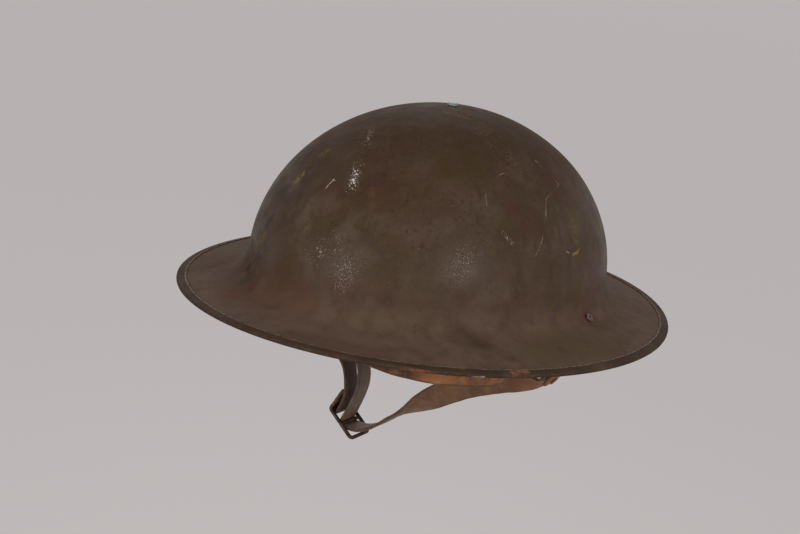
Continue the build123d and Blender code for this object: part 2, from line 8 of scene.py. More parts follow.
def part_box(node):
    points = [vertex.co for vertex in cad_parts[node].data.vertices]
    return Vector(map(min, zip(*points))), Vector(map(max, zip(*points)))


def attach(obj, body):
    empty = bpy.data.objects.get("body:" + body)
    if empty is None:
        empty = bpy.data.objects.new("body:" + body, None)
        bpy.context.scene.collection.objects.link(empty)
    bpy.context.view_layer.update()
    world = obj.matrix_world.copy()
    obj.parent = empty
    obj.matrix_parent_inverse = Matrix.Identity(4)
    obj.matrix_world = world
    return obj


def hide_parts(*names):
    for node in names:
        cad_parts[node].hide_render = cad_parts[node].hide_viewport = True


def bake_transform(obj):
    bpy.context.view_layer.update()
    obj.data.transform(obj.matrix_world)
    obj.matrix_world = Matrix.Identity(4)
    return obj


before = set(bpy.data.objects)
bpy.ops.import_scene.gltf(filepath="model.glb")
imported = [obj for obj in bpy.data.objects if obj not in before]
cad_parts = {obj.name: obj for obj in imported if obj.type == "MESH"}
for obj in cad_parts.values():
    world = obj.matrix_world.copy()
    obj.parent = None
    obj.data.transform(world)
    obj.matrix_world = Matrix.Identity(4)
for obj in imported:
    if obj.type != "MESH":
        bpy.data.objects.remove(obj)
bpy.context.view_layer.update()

# Camera: stands a little above the brim, to the front and right of the helmet, and leans by the
# tilt at which the helmet was standing. Directions are in the helmet's own frame.
mm = 0.001
photo_width, photo_height = 800, 534
photo_focal_pixels = 1261.5
aim_pixel = (438.25, 211.16)
aim_point = Vector((0, 0, 50 * mm))
camera_distance = 749.1 * mm
sensor_width_mm = 36
azimuth, elevation, roll = (math.radians(angle) for angle in (31.723, 14.442, 7.402))

level_right = Vector((math.cos(azimuth), math.sin(azimuth), 0))
camera_back = Vector((math.sin(azimuth), -math.cos(azimuth), 0)) * math.cos(elevation)
camera_back.z = math.sin(elevation)
level_up = camera_back.cross(level_right)
camera_right = level_right * math.cos(roll) + level_up * math.sin(roll)
camera_up = level_up * math.cos(roll) - level_right * math.sin(roll)
pixel_size = camera_distance / photo_focal_pixels
camera_place = aim_point + camera_back * camera_distance
camera_place -= camera_right * (aim_pixel[0] - photo_width / 2) * pixel_size
camera_place -= camera_up * (photo_height / 2 - aim_pixel[1]) * pixel_size

scene = bpy.context.scene
scene.view_settings.view_transform = "Standard"
camera = bpy.data.objects.new("camera", bpy.data.cameras.new("camera"))
camera.data.sensor_width = sensor_width_mm
camera.data.lens = sensor_width_mm * photo_focal_pixels / photo_width
camera.data.clip_end = 600
camera.matrix_world = Matrix((camera_right, camera_up, camera_back)).transposed().to_4x4()
camera.matrix_world.translation = camera_place
scene.collection.objects.link(camera)
scene.camera = camera


# Floor and light: a wide matt pale floor well below the helmet, a dim room that is darker above,
# and three soft lamps, one on each side of the camera, whose glints the paint shows, and a weaker
# one behind.
def colour(code):
    """Linear colour of an sRGB hex code."""
    channels = [int(code[place : place + 2], 16) / 255 for place in (1, 3, 5)]
    return tuple(c / 12.92 if c <= 0.04045 else ((c + 0.055) / 1.055) ** 2.4 for c in channels) + (1,)


def put(tree, kind, inputs=None, **settings):
    """Adds a node with its settings. An input is a value, a socket, or a node's first socket.

    Inputs go by name or number: in MapRange 1 and 2 are the range that comes in and 3 and 4 the
    one that goes out, and in Mix 6 and 7 are the two colours.
    """
    node = tree.nodes.new("ShaderNode" + kind)
    for name, value in settings.items():
        setattr(node, name, value)
    for name, value in (inputs or {}).items():
        if isinstance(value, bpy.types.Node):
            value = value.outputs[0]
        if isinstance(value, bpy.types.NodeSocket):
            tree.links.new(value, node.inputs[name])
        else:
            node.inputs[name].default_value = value
    return node


floor_drop = 900 * mm
floor_reach = 250
floor_glow = 0.5
room_pale = colour("#BAB5B4")
room_light_level = (0.7, 0.68, 0.67, 1)
room_light_above = (0.5, 0.48, 0.47, 1)


def plain_rays(tree):
    """1 for the rays that show the surroundings: seen, mirrored or through a surface; 0 for light."""
    ray = put(tree, "LightPath").outputs
    seen = put(tree, "Math", {0: ray["Is Camera Ray"], 1: ray["Is Glossy Ray"]}, operation="MAXIMUM")
    return put(tree, "Math", {0: seen, 1: ray["Is Transmission Ray"]}, operation="MAXIMUM")


floor_mesh = bpy.data.meshes.new("floor")
floor_shape = bmesh.new()
bmesh.ops.create_circle(floor_shape, cap_ends=True, segments=64, radius=floor_reach)
bmesh.ops.translate(floor_shape, verts=floor_shape.verts, vec=(0, 0, -floor_drop))
floor_shape.to_mesh(floor_mesh)
floor_shape.free()
floor = bpy.data.objects.new("floor", floor_mesh)
scene.collection.objects.link(floor)

# Matt paint without a shine. It glows a little, so that the floor looks as pale as the room.
floor_paint = bpy.data.materials.new("matt_floor")
floor_paint.use_nodes = True
tree = floor_paint.node_tree
shader = tree.nodes["Principled BSDF"]
shader.inputs["Base Color"].default_value = colour("#969291")
shader.inputs["Roughness"].default_value = 0.9
shader.inputs["Specular IOR Level"].default_value = 0.1
shader.inputs["Emission Color"].default_value = colour("#C9C5C5")
glow = put(tree, "Math", {0: plain_rays(tree), 1: floor_glow}, operation="MULTIPLY")
tree.links.new(glow.outputs[0], shader.inputs["Emission Strength"])
floor_mesh.materials.append(floor_paint)

scene.world = bpy.data.worlds.new("room")
scene.world.use_nodes = True
room = scene.world.node_tree
room.nodes.clear()
heading = put(room, "TexCoord").outputs["Generated"]
height = put(room, "SeparateXYZ", {0: heading}).outputs["Z"]
overhead = put(room, "MapRange", {0: height, 1: 0.0, 2: 0.9})
room_light = put(room, "Mix", {0: overhead, 6: room_light_level, 7: room_light_above}, data_type="RGBA")
plain = plain_rays(room)
room_colour = put(room, "Mix", {0: plain, 6: room_light.outputs[2], 7: room_pale}, data_type="RGBA")
room_shine = put(room, "Background", {"Color": room_colour.outputs[2]})
put(room, "OutputWorld", {"Surface": room_shine})

# Each lamp has its direction in degrees, to the right of the front and up, and its power in watts.
lamp_distance = 1.5
lamp_radius = 0.2
for lamp_name, lamp_azimuth, lamp_elevation, lamp_power in (
    ("lamp_left", -9, 10, 27.0),
    ("lamp_right", 71, 19, 27.0),
    ("lamp_back", 215, 25, 12.0),
):
    turn, rise = math.radians(lamp_azimuth), math.radians(lamp_elevation)
    toward = Vector((math.sin(turn) * math.cos(rise), -math.cos(turn) * math.cos(rise), math.sin(rise)))
    lamp = bpy.data.objects.new(lamp_name, bpy.data.lights.new(lamp_name, "POINT"))
    lamp.data.shadow_soft_size = lamp_radius
    lamp.data.energy = lamp_power
    lamp.location = aim_point + toward * lamp_distance
    scene.collection.objects.link(lamp)


# Shell: one pressing of hard steel sheet, with old matt olive-brown paint that has gone brown in
# patches, run in faint streaks down the sides and been scratched, chipped and smeared since.
bowl_half_width = 100.4 * mm
bowl_half_length = 121.2 * mm
crown_height = 113.5 * mm
bowl_centre_height = 19.6 * mm
wall_top_height = 24.0 * mm
brim_slope = math.radians(15)
sheet_thickness = 0.9 * mm
edge_setback = 0.64 * mm
edge_rise_ends = 2.6 * mm
brim_land = 7 * mm
brim_half_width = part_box("rim")[1].x
brim_half_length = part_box("rim")[1].y
brim_extra_length = brim_half_length - brim_half_width
bowl_rise = crown_height - bowl_centre_height
edge_reach = brim_half_width - edge_setback
edge_top = edge_setback * math.tan(brim_slope) + sheet_thickness / 2 / math.cos(brim_slope)
wall_sine = (wall_top_height - bowl_centre_height) / bowl_rise
wall_reach = bowl_half_width * math.sqrt(1 - wall_sine**2)
wall_length = bowl_half_length * math.sqrt(1 - wall_sine**2)
land_reach = edge_reach - brim_land
stretch = (land_reach + brim_extra_length - wall_length) / (land_reach - wall_reach)
side_rivet_seat = Vector((105.7, 0, 12.3)) * mm
dimple_depth = 0.45 * mm
dimple_radius = 5 * mm
press_unevenness = 0.16 * mm
press_wave = 38 * mm
merge_distance = 0.002 * mm


def arc(centre, radius, start, sweep, steps):
    """Points along an arc in a section, both ends included. Angles are in radians."""
    turns = [start + sweep * step / steps for step in range(steps + 1)]
    return [(centre[0] + radius * math.cos(turn), centre[1] + radius * math.sin(turn)) for turn in turns]


def skin_line(gap, dome_steps=44, flare_steps=16, brim_steps=12):
    """Half section of one face of the shell, drawn in by a gap, from the crown to the brim's edge."""
    rise, width = bowl_rise - gap, bowl_half_width - gap
    low = math.asin((wall_top_height - bowl_centre_height) / rise)
    line = []
    for step in range(dome_steps + 1):
        turn = math.pi / 2 + (low - math.pi / 2) * step / dome_steps
        line.append((width * math.cos(turn), bowl_centre_height + rise * math.sin(turn)))
    lean = math.atan2(width * math.sin(low), rise * math.cos(low))
    reach, top = line[-1]
    edge_height = edge_top - gap / math.cos(brim_slope)
    facing = math.cos(lean) * math.sin(brim_slope) + math.sin(lean) * math.cos(brim_slope)
    fall = (edge_reach - reach) * math.sin(brim_slope) + (edge_height - top) * math.cos(brim_slope)
    radius = fall / (facing - 1)
    centre = (reach + radius * math.cos(lean), top + radius * math.sin(lean))
    line += arc(centre, -radius, lean, math.pi / 2 - brim_slope - lean, flare_steps)[1:]
    reach, top = line[-1]
    for step in range(1, brim_steps + 1):
        share = step / brim_steps
        line.append((reach + (edge_reach - reach) * share, top + (edge_height - top) * share))
    return line


def spun(outline, steps, closed=False, start=0.0, sweep=2 * math.pi):
    """A section, as reach and height, spun round the upright axis."""
    shape = bmesh.new()
    points = []
    for reach, height in outline:
        points.append(shape.verts.new((reach * math.cos(start), reach * math.sin(start), height)))
    for here, after in zip(points, points[1:]):
        shape.edges.new((here, after))
    if closed:
        shape.edges.new((points[-1], points[0]))
    whole = abs(sweep - 2 * math.pi) < 1e-9
    bmesh.ops.spin(
        shape,
        geom=shape.verts[:] + shape.edges[:],
        axis=(0, 0, 1),
        angle=sweep,
        steps=steps,
        use_merge=whole,
    )
    bmesh.ops.remove_doubles(shape, verts=shape.verts, dist=merge_distance)
    if not whole:
        ends = [edge for edge in shape.edges if edge.is_boundary]
        bmesh.ops.holes_fill(shape, edges=ends, sides=0)
    return shape


def ovalise(shape):
    """Turns round rings into the shell's ovals and lifts the brim's edge at front and back."""
    for vert in shape.verts:
        reach = math.hypot(vert.co.x, vert.co.y)
        if reach < 0.01 * mm:
            continue
        if reach < wall_reach:
            length = reach * wall_length / wall_reach
        elif reach < land_reach:
            length = wall_length + (reach - wall_reach) * stretch
        else:
            length = reach + brim_extra_length
        vert.co.y *= length / reach
        out = min(1, max(0, (reach - wall_reach) / (edge_reach - wall_reach)))
        vert.co.z += edge_rise_ends * out**2 * (vert.co.y / brim_half_length) ** 2


def keep(name, shape, material, body="root", stands_for=(), crease=40):
    """Makes a shape a finished piece: faces out, smooth between creases, riding on its body."""
    bmesh.ops.remove_doubles(shape, verts=shape.verts, dist=merge_distance)
    bmesh.ops.recalc_face_normals(shape, faces=shape.faces)
    mesh = bpy.data.meshes.new(name)
    shape.to_mesh(mesh)
    shape.free()
    mesh.shade_smooth()
    mesh.set_sharp_from_angle(angle=math.radians(crease))
    mesh.materials.append(material)
    piece = bpy.data.objects.new(name, mesh)
    scene.collection.objects.link(piece)
    if body:
        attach(piece, body)
    if stands_for:
        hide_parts(*stands_for)
    return piece


def start_material(name, roughness, **sockets):
    """A material's tree, its shader and the object's own coordinates."""
    material = bpy.data.materials.new(name)
    material.use_nodes = True
    tree = material.node_tree
    shader = tree.nodes["Principled BSDF"]
    shader.inputs["Roughness"].default_value = roughness
    for socket, value in sockets.items():
        shader.inputs[socket.replace("_", " ")].default_value = value
    return material, tree, shader, put(tree, "TexCoord").outputs["Object"]


def patches(tree, where, size, low, high, under, over, detail=3):
    """Lays one colour over another in cloudy patches of about that size.

    The upper colour begins where the cloud's value passes low and is full from high.
    """
    cloud = put(tree, "TexNoise", {"Vector": where, "Scale": 1 / size, "Detail": detail})
    share = put(tree, "MapRange", {0: cloud, 1: low, 2: high})
    return put(tree, "Mix", {0: share, 6: under, 7: over}, data_type="RGBA").outputs[2]


def mark(tree, where, broken, start, end, width, under, over):
    """Lays a colour along a line on the surface, fading out from its middle and broken by a pattern."""
    start, end = Vector(start) * mm, Vector(end) * mm
    run = end - start
    away = put(tree, "VectorMath", {0: where, 1: start}, operation="SUBTRACT")
    along = put(tree, "VectorMath", {0: away, 1: run}, operation="DOT_PRODUCT").outputs["Value"]
    share = put(tree, "MapRange", {0: along, 1: 0, 2: run.length_squared})
    foot = put(tree, "VectorMath", {0: run, "Scale": share}, operation="SCALE")
    gap = put(tree, "VectorMath", {0: away, 1: foot}, operation="DISTANCE").outputs["Value"]
    near = put(tree, "MapRange", {0: gap, 1: width * mm, 2: width * mm * 0.35})
    shows = put(tree, "Math", {0: near, 1: broken}, operation="MULTIPLY")
    return put(tree, "Mix", {0: shows, 6: under, 7: over}, data_type="RGBA").outputs[2]


def old_paint(name, roughness):
    """Matt olive-brown paint on steel: its cloudy browns, its faint runs and its dirt."""
    material, tree, shader, where = start_material(name, roughness, Specular_IOR_Level=0.13)
    skin = patches(tree, where, 45 * mm, 0.38, 0.66, colour("#4A392D"), colour("#423322"))
    skin = patches(tree, where, 30 * mm, 0.48, 0.72, skin, colour("#472E25"))
    skin = patches(tree, where, 17 * mm, 0.48, 0.78, skin, colour("#57473C"))
    streaked = put(tree, "Mapping", {"Vector": where, "Scale": (1, 1, 0.16)})
    skin = patches(tree, streaked, 7 * mm, 0.52, 0.82, skin, colour("#3B2C1A"))
    skin = patches(tree, where, 5 * mm, 0.56, 0.82, skin, colour("#4D3E2A"), 5)
    skin = patches(tree, where, 2.2 * mm, 0.56, 0.8, skin, colour("#35281E"), 5)
    skin = patches(tree, where, 0.9 * mm, 0.7, 0.78, skin, colour("#6C5D4C"), 2)
    return material, tree, shader, where, skin


def grained(tree, shader, where, grain, depth, swell=0.0):
    """Gives a surface its fine grain, and if it has one, its slow unevenness."""
    fine = put(tree, "TexNoise", {"Vector": where, "Scale": 1 / grain, "Detail": 4})
    height = put(tree, "Bump", {"Height": fine, "Distance": depth, "Strength": 1})
    if swell:
        slow = put(tree, "TexNoise", {"Vector": where, "Scale": 1 / (14 * grain), "Detail": 2})
        height = put(tree, "Bump", {"Height": slow, "Distance": swell, "Strength": 1, "Normal": height})
    tree.links.new(height.outputs[0], shader.inputs["Normal"])


# Matt sprayed paint on steel: a dull cloudy brown, dullest at the crown and on the brim, with painted
# shade darkening it towards the crown and painted light paling it low on the dome. Its grit is too fine
# to sparkle in the render where the two front lamps catch it, so the bright specks of those two glints
# are drawn in its colour as painted highlights, coarser than the grit is.
shell_paint, tree, shader, where, skin = old_paint("matt_brown_paint", 0.5)
grit = put(tree, "TexNoise", {"Vector": where, "Scale": 1 / (0.8 * mm), "Detail": 3})
specks = put(tree, "MapRange", {0: grit, 1: 0.55, 2: 0.62}).outputs[0]
few_specks = put(tree, "MapRange", {0: grit, 1: 0.63, 2: 0.69}).outputs[0]
fine_grit = put(tree, "TexNoise", {"Vector": where, "Scale": 1 / (0.55 * mm), "Detail": 2})
glints = put(tree, "MapRange", {0: fine_grit, 1: 0.56, 2: 0.7})
worn_line = put(tree, "MapRange", {0: grit, 1: 0.4, 2: 0.55}).outputs[0]
torn = put(tree, "TexNoise", {"Vector": where, "Scale": 1 / (2.2 * mm), "Detail": 5, "Roughness": 0.65})
ragged = put(tree, "MapRange", {0: torn, 1: 0.46, 2: 0.54}).outputs[0]
gathered = put(tree, "MapRange", {0: torn, 1: 0.3, 2: 0.6})
glints = put(tree, "Math", {0: glints, 1: gathered}, operation="MULTIPLY").outputs[0]
dense_specks = put(tree, "MapRange", {0: grit, 1: 0.49, 2: 0.56})
dense_specks = put(tree, "Math", {0: dense_specks, 1: gathered}, operation="MULTIPLY").outputs[0]
cloud = put(tree, "TexNoise", {"Vector": where, "Scale": 1 / (9 * mm), "Detail": 4})
soft_patches = put(tree, "MapRange", {0: cloud, 1: 0.3, 2: 0.64, 4: 0.8}).outputs[0]

# Marks in the paint: each runs from one place to another, in millimetres, and has a width and a
# colour.
stains_and_shade = (
    ((-46, -124, 8), (-6, -124, 14), 17, "#4F2F22"),
    ((-22, -119, 22), (-16, -119, 30), 12, "#46341B"),
    ((74, -90, 11), (86, -85, 8.5), 9, "#3C2E21"),
    ((87, 0, 66), (100, -9, 23), 8, "#4A3C1D"),
    ((40, -62, 91), (52, -50, 88), 16, "#3F301A"),
    ((75, -43, 72), (80, -40, 62), 12, "#482D22"),
    ((104, 0, 13), (108, 0, 11), 9, "#4A2A1E"),
    ((-30, -142, 5), (55, -132, 4), 26, "#5A493E"),
    # Painted shade: a wide dark band down the front of the dome's left side.
    ((-46, -88, 68), (-54, -102, 26), 30, "#2F2316"),
    ((110, -60, 6), (122, -20, 5), 20, "#50402F"),
    ((-80, 60, 40), (-60, 80, 52), 16, "#4F2F22"),
    ((-99, -97, 4.5), (-91, -81, 8.5), 10, "#4C3626"),
    ((10, -148, 4.5), (60, -134, 5.5), 8, "#4B3526"),
)
# Painted highlights: the bright specks of the two lamp glints on the front of the dome.
sheen_spots = (
    ((16, -117, 31), (20, -116.5, 37), 12.5, "#7B6F63"),
    ((19, -117, 29), (18.5, -116.5, 37), 7, "#9A8F83"),
    ((66, -85, 43), (69, -83, 50), 12, "#7F7367"),
    ((67, -84, 44), (68, -83, 48), 7, "#8F8478"),
)
scuffs = (
    ((0.2, -90.8, 81.4), (3.0, -97.6, 75.2), 2.9, "#CFC6BA"),
    ((-12.9, -61.3, 99.7), (-8.4, -71.0, 95.2), 2.0, "#8C8272"),
    ((2.4, -118.2, 40.1), (0.4, -117.0, 43.0), 2.4, "#A89D8F"),
    ((75.2, -59.2, 61.5), (79.6, -56.0, 56.8), 1.7, "#85796C"),
    ((8, -21.2, 111.7), (22.3, -17.1, 110.2), 3.2, "#806528"),
    ((-70, 60, 70), (-62, 72, 66), 4, "#8F8376"),
)
loose_specks = (
    ((-2, -88, 84), (4, -99, 73.5), 5, "#C2B8AA"),
    ((0, -119, 40), (10, -119, 50), 10, "#9C9082"),
    ((-16, -60, 98), (-7, -76, 92), 6, "#857A68"),
    ((10, -10, 113), (60, -30, 92), 12, "#7C6B50"),
    ((-70, -121, 5.8), (-52, -132, 6.2), 5, "#85796B"),
    ((-30, -140, 5), (0, -151, 4.8), 5, "#7A6D5F"),
)
chips = (
    ((0.6, -92.0, 80.2), (2.4, -95.6, 77.0), 2.0, "#DDD6CC"),
    ((-2.0, -89.0, 83.4), (0.2, -90.8, 81.4), 1.0, "#BDB3A5"),
)
blotches = (
    ((14.9, -96.1, 75.2), (19.9, -102.4, 66.3), 2.6, "#4D3A25"),
    ((-16.0, -108.6, 59), (-11.0, -113.0, 51.0), 2.4, "#58491F"),
    ((-37, -92.6, 69.5), (-34.6, -90.0, 73.4), 3.4, "#6E5E33"),
    ((-31.2, -80.4, 83.0), (-29.6, -78.2, 86.0), 3.4, "#5D5128"),
    ((89.5, -3, 63), (91.5, -5, 55), 5, "#564A24"),
    ((-52, -104, 30), (-46, -108, 38), 5, "#54461F"),
    ((97.3, -28.7, 25.4), (97.0, -32.6, 21.0), 2.4, "#504520"),
)
scratches = (
    ((94.6, -11.5, 47.6), (95.2, -6.5, 48.6), 1.3, "#857739"),
    ((95.2, -6.5, 48.6), (95.6, -2.5, 50.6), 0.9, "#857739"),
    ((94.0, -17.8, 50.2), (94.3, -15.2, 49.4), 0.8, "#857739"),
    ((-11.3, -100.4, 71.1), (-9.8, -96.3, 75.9), 0.42, "#B9AE9F"),
    ((-10.6, -97.2, 74.8), (-8.0, -97.0, 75.4), 0.36, "#9A8E80"),
    ((61.6, -7.0, 93.5), (74.9, -0.6, 82.0), 0.5, "#85776A"),
    ((74.9, -0.6, 82.0), (78.1, -20.3, 76.5), 0.42, "#7C6E60"),
    ((78.1, -20.3, 76.5), (81.5, -25.1, 70.8), 0.42, "#7C6E60"),
    ((81.5, -25.1, 70.8), (87.1, -36.5, 56.6), 0.5, "#8A7C6E"),
    ((87.1, -36.5, 56.6), (88.0, -43.1, 49.9), 0.42, "#7C6E60"),
    ((60.8, -57.8, 79.4), (64.5, -61.0, 73.8), 0.4, "#6C5E52"),
    ((59.4, -42.4, 87.8), (59.7, -39.2, 88.7), 0.45, "#7A6E60"),
)

# Each pattern with the marks that it breaks up. Those listed last lie on top.
marks = (
    (glints, sheen_spots),
    (soft_patches, stains_and_shade),
    (specks, scuffs),
    (few_specks, loose_specks),
    (dense_specks, chips),
    (ragged, blotches),
    (worn_line, scratches),
)
height = put(tree, "SeparateXYZ", {0: where}).outputs["Z"]
# Painted light and shade: paler in cloudy patches low on the dome, darker towards the crown.
painted_low_light = put(tree, "MapRange", {0: height, 1: 50 * mm, 2: 4 * mm})
low_light_patches = put(tree, "MapRange", {0: cloud, 1: 0.3, 2: 0.66, 3: 0.25, 4: 0.85})
painted_low_light = put(tree, "Math", {0: painted_low_light, 1: low_light_patches}, operation="MULTIPLY")
skin = put(tree, "Mix", {0: painted_low_light, 6: skin, 7: colour("#604E42")}, data_type="RGBA").outputs[2]
painted_crown_shade = put(tree, "MapRange", {0: height, 1: 60 * mm, 2: 112 * mm, 4: 0.6})
skin = put(tree, "Mix", {0: painted_crown_shade, 6: skin, 7: colour("#362415")}, data_type="RGBA").outputs[2]
for broken, group in marks:
    for first, last, width, tint in group:
        skin = mark(tree, where, broken, first, last, width, skin, colour(tint))
tree.links.new(skin, shader.inputs["Base Color"])
gloss = put(tree, "MapRange", {0: cloud, 1: 0.3, 2: 0.7, 3: 0.4, 4: 0.52})
dull_brim = put(tree, "MapRange", {0: height, 1: 32 * mm, 2: 12 * mm, 4: 0.38})
dull_crown = put(tree, "MapRange", {0: height, 1: 70 * mm, 2: 100 * mm, 4: 0.33})
gloss = put(tree, "Math", {0: gloss, 1: dull_brim}, operation="ADD")
gloss = put(tree, "Math", {0: gloss, 1: dull_crown}, operation="ADD")
tree.links.new(gloss.outputs[0], shader.inputs["Roughness"])
grained(tree, shader, where, 0.6 * mm, 0.08 * mm, 0.1 * mm)

shell_shape = spun(skin_line(0) + skin_line(sheet_thickness)[::-1], steps=240)
ovalise(shell_shape)
for vert in shell_shape.verts:
    outward = Vector((vert.co.x, vert.co.y, vert.co.z - bowl_centre_height)).normalized()
    vert.co += outward * noise.noise(vert.co / press_wave) * press_unevenness
    off_rivet = (Vector((abs(vert.co.x), vert.co.y, vert.co.z)) - side_rivet_seat).length
    vert.co -= outward * dimple_depth * math.exp(-((off_rivet / dimple_radius) ** 2))
keep("pressed_shell", shell_shape, shell_paint, stands_for=["shell"])


# Rim: a strip of mild steel folded over the brim's raw edge and pressed flat, its two ends meeting
# on the left. Its fold is rubbed and rusty, and its inner edge stands up as a fine line that carries
# a painted highlight.
rim_band = 5.8 * mm
rim_wall = 0.5 * mm
rim_play = 0.14 * mm
rim_half_height = rim_wall + rim_play + sheet_thickness / 2
slot_half_height = rim_half_height - rim_wall
rim_joint_angle = math.radians(-140)
rim_joint_gap = 1.0 * mm
ridge_setback = 0.3 * mm
ridge_reach = brim_half_width - rim_band * math.cos(brim_slope) + ridge_setback
worn_width = 1.3 * mm
ridge_waver = 0.35 * mm

# The same paint, rubbed through to rust on the fold: a dull brown edge with rusty and bare spots
# and a fine, broken pale line inside it, a painted highlight along the raised inner edge.
rim_paint, tree, shader, where, skin = old_paint("worn_rim_paint", 0.72)
worn = put(tree, "Attribute", attribute_name="worn").outputs["Fac"]
ragged = put(tree, "TexNoise", {"Vector": where, "Scale": 1 / (2.4 * mm), "Detail": 5})
rubbed = put(tree, "MapRange", {0: ragged, 1: 0.48, 2: 0.66})
rubbed = put(tree, "Math", {0: rubbed, 1: worn}, operation="MULTIPLY")
skin = put(tree, "Mix", {0: rubbed, 6: skin, 7: colour("#6B4E3A")}, data_type="RGBA").outputs[2]
skin = patches(tree, where, 16 * mm, 0.3, 0.62, skin, colour("#3A2B22"))
# Painted highlight: a broken pale line along the raised inner edge.
ridge_highlight = put(tree, "Attribute", attribute_name="ridge_highlight").outputs["Fac"]
ridge_highlight = put(tree, "MapRange", {0: ridge_highlight, 1: 0.2, 2: 0.75, 4: 0.75})
broken_ridge_highlight = put(tree, "MapRange", {0: ragged, 1: 0.4, 2: 0.58, 3: 0.25})
ridge_highlight = put(tree, "Math", {0: ridge_highlight, 1: broken_ridge_highlight}, operation="MULTIPLY")
skin = put(tree, "Mix", {0: ridge_highlight, 6: skin, 7: colour("#8C7D6D")}, data_type="RGBA").outputs[2]
rust = put(tree, "MapRange", {0: ragged, 1: 0.34, 2: 0.5}).outputs[0]
for first, last, width, tint in (
    ((97.8, -113.4, 1.1), (102.5, -108.8, 0.9), 0.9, "#BDB3A5"),
    ((110.6, -95.0, 1.8), (114.0, -88.3, 2.1), 2.9, "#7C4D32"),
    ((12.0, -149.0, 2.8), (27.0, -146.4, 2.9), 1.8, "#75562C"),
    ((30.0, -146.5, 2.8), (60.0, -137.0, 2.5), 1.7, "#5F3E2A"),
    ((58.0, -142.2, 2.0), (87.0, -127.2, 1.4), 1.7, "#7A4E33"),
    ((-60, 140, 2), (-30, 152, 2.5), 2.0, "#7C5034"),
):
    skin = mark(tree, where, rust, first, last, width, skin, colour(tint))
tree.links.new(skin, shader.inputs["Base Color"])
grained(tree, shader, where, 0.8 * mm, 0.12 * mm, 0.15 * mm)

rim_flat = [-rim_half_height - (rim_band - 2 * rim_half_height) * step / 6 for step in range(1, 7)]
rim_lip = -rim_band + rim_wall / 2
rim_section = arc((-rim_half_height, 0), rim_half_height, math.pi / 2, -math.pi, 8)
rim_section += [(out, -rim_half_height) for out in rim_flat]
rim_section += arc((rim_lip, rim_wall / 2 - rim_half_height), rim_wall / 2, -math.pi / 2, -math.pi, 4)
rim_section += arc((-rim_half_height, 0), slot_half_height, -math.pi / 2, math.pi, 6)
rim_section += arc((rim_lip, rim_half_height - rim_wall / 2), rim_wall / 2, -math.pi / 2, -math.pi, 4)
rim_section += [(out, rim_half_height) for out in rim_flat[::-1]]
rim_outline = []
for out, over in rim_section:
    rim_outline.append((
        brim_half_width + out * math.cos(brim_slope) + over * math.sin(brim_slope),
        -out * math.sin(brim_slope) + over * math.cos(brim_slope),
    ))
rim_sweep = 2 * math.pi - rim_joint_gap / brim_half_width
rim_shape = spun(rim_outline, steps=300, closed=True, start=rim_joint_angle, sweep=rim_sweep)
worn_layer = rim_shape.verts.layers.float.new("worn")
ridge_highlight_layer = rim_shape.verts.layers.float.new("ridge_highlight")
for vert in rim_shape.verts:
    reach = math.hypot(vert.co.x, vert.co.y)
    vert[worn_layer] = max(0.1, 0.7 * (1 - abs(brim_half_width - reach) / worn_width))
    vert[ridge_highlight_layer] = max(0, 1 - abs(reach - ridge_reach) / worn_width)
    if reach < brim_half_width - rim_band * 0.7:
        vert.co.xy *= 1 + ridge_waver * noise.noise(vert.co / (9 * mm)) / reach
ovalise(rim_shape)
keep("folded_rim", rim_shape, rim_paint, stands_for=["rim"])


# Crown rivet: a domed copper rivet that clamps the liner's layers under the crown.
# Verdigris makes most of its head a chalky grey-green, with dull brown where the metal is bare.
def finish_node(name, material):
    """Gives a part that stays as the CAD model has it its material."""
    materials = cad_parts[name].data.materials
    materials.clear()
    materials.append(material)


copper, tree, shader, where = start_material("verdigris_copper", 0.55)
skin = patches(tree, where, 2.2 * mm, 0.3, 0.46, colour("#5E4636"), colour("#73877A"), 4)
skin = patches(tree, where, 1.1 * mm, 0.5, 0.64, skin, colour("#9DB8A6"), 4)
tree.links.new(skin, shader.inputs["Base Color"])
grained(tree, shader, where, 0.5 * mm, 0.12 * mm)
finish_node("crown_rivet", copper)


# Side rivets: tubular steel rivets, one through each side of the flare, which hold the lugs.
# They are painted with the shell and look like it, with dirt in the paint and a few rust spots.
rivet_paint, tree, shader, where = start_material("painted_rivet_steel", 0.5)
skin = patches(tree, where, 1.6 * mm, 0.42, 0.6, colour("#43362B"), colour("#5A4A3D"), 4)
skin = patches(tree, where, 0.9 * mm, 0.62, 0.7, skin, colour("#80543B"), 4)
tree.links.new(skin, shader.inputs["Base Color"])
grained(tree, shader, where, 0.4 * mm, 0.08 * mm)
finish_node("right_lug_rivet", rivet_paint)
finish_node("left_lug_rivet", rivet_paint)


# Lugs, washer, bails, buckle and small rivets: plain steel without paint, dark with age, with rust
# in freckles. The wire pieces are darker and the small rivets brighter.
def old_steel(name, dark, pale, rust, roughness):
    """Bare steel that has tarnished: a dim grey-brown shine, duller in patches, with rust freckles."""
    material, tree, shader, where = start_material(name, roughness, Metallic=0.75)
    skin = patches(tree, where, 4 * mm, 0.35, 0.65, colour(dark), colour(pale), 4)
    skin = patches(tree, where, 2.0 * mm, 0.54, 0.66, skin, colour(rust), 5)
    tree.links.new(skin, shader.inputs["Base Color"])
    pitted = put(tree, "TexNoise", {"Vector": where, "Scale": 1 / (3 * mm), "Detail": 4})
    dull = put(tree, "MapRange", {0: pitted, 1: 0.35, 2: 0.65, 3: roughness - 0.1, 4: roughness + 0.2})
    tree.links.new(dull.outputs[0], shader.inputs["Roughness"])
    grained(tree, shader, where, 0.5 * mm, 0.06 * mm)
    return material


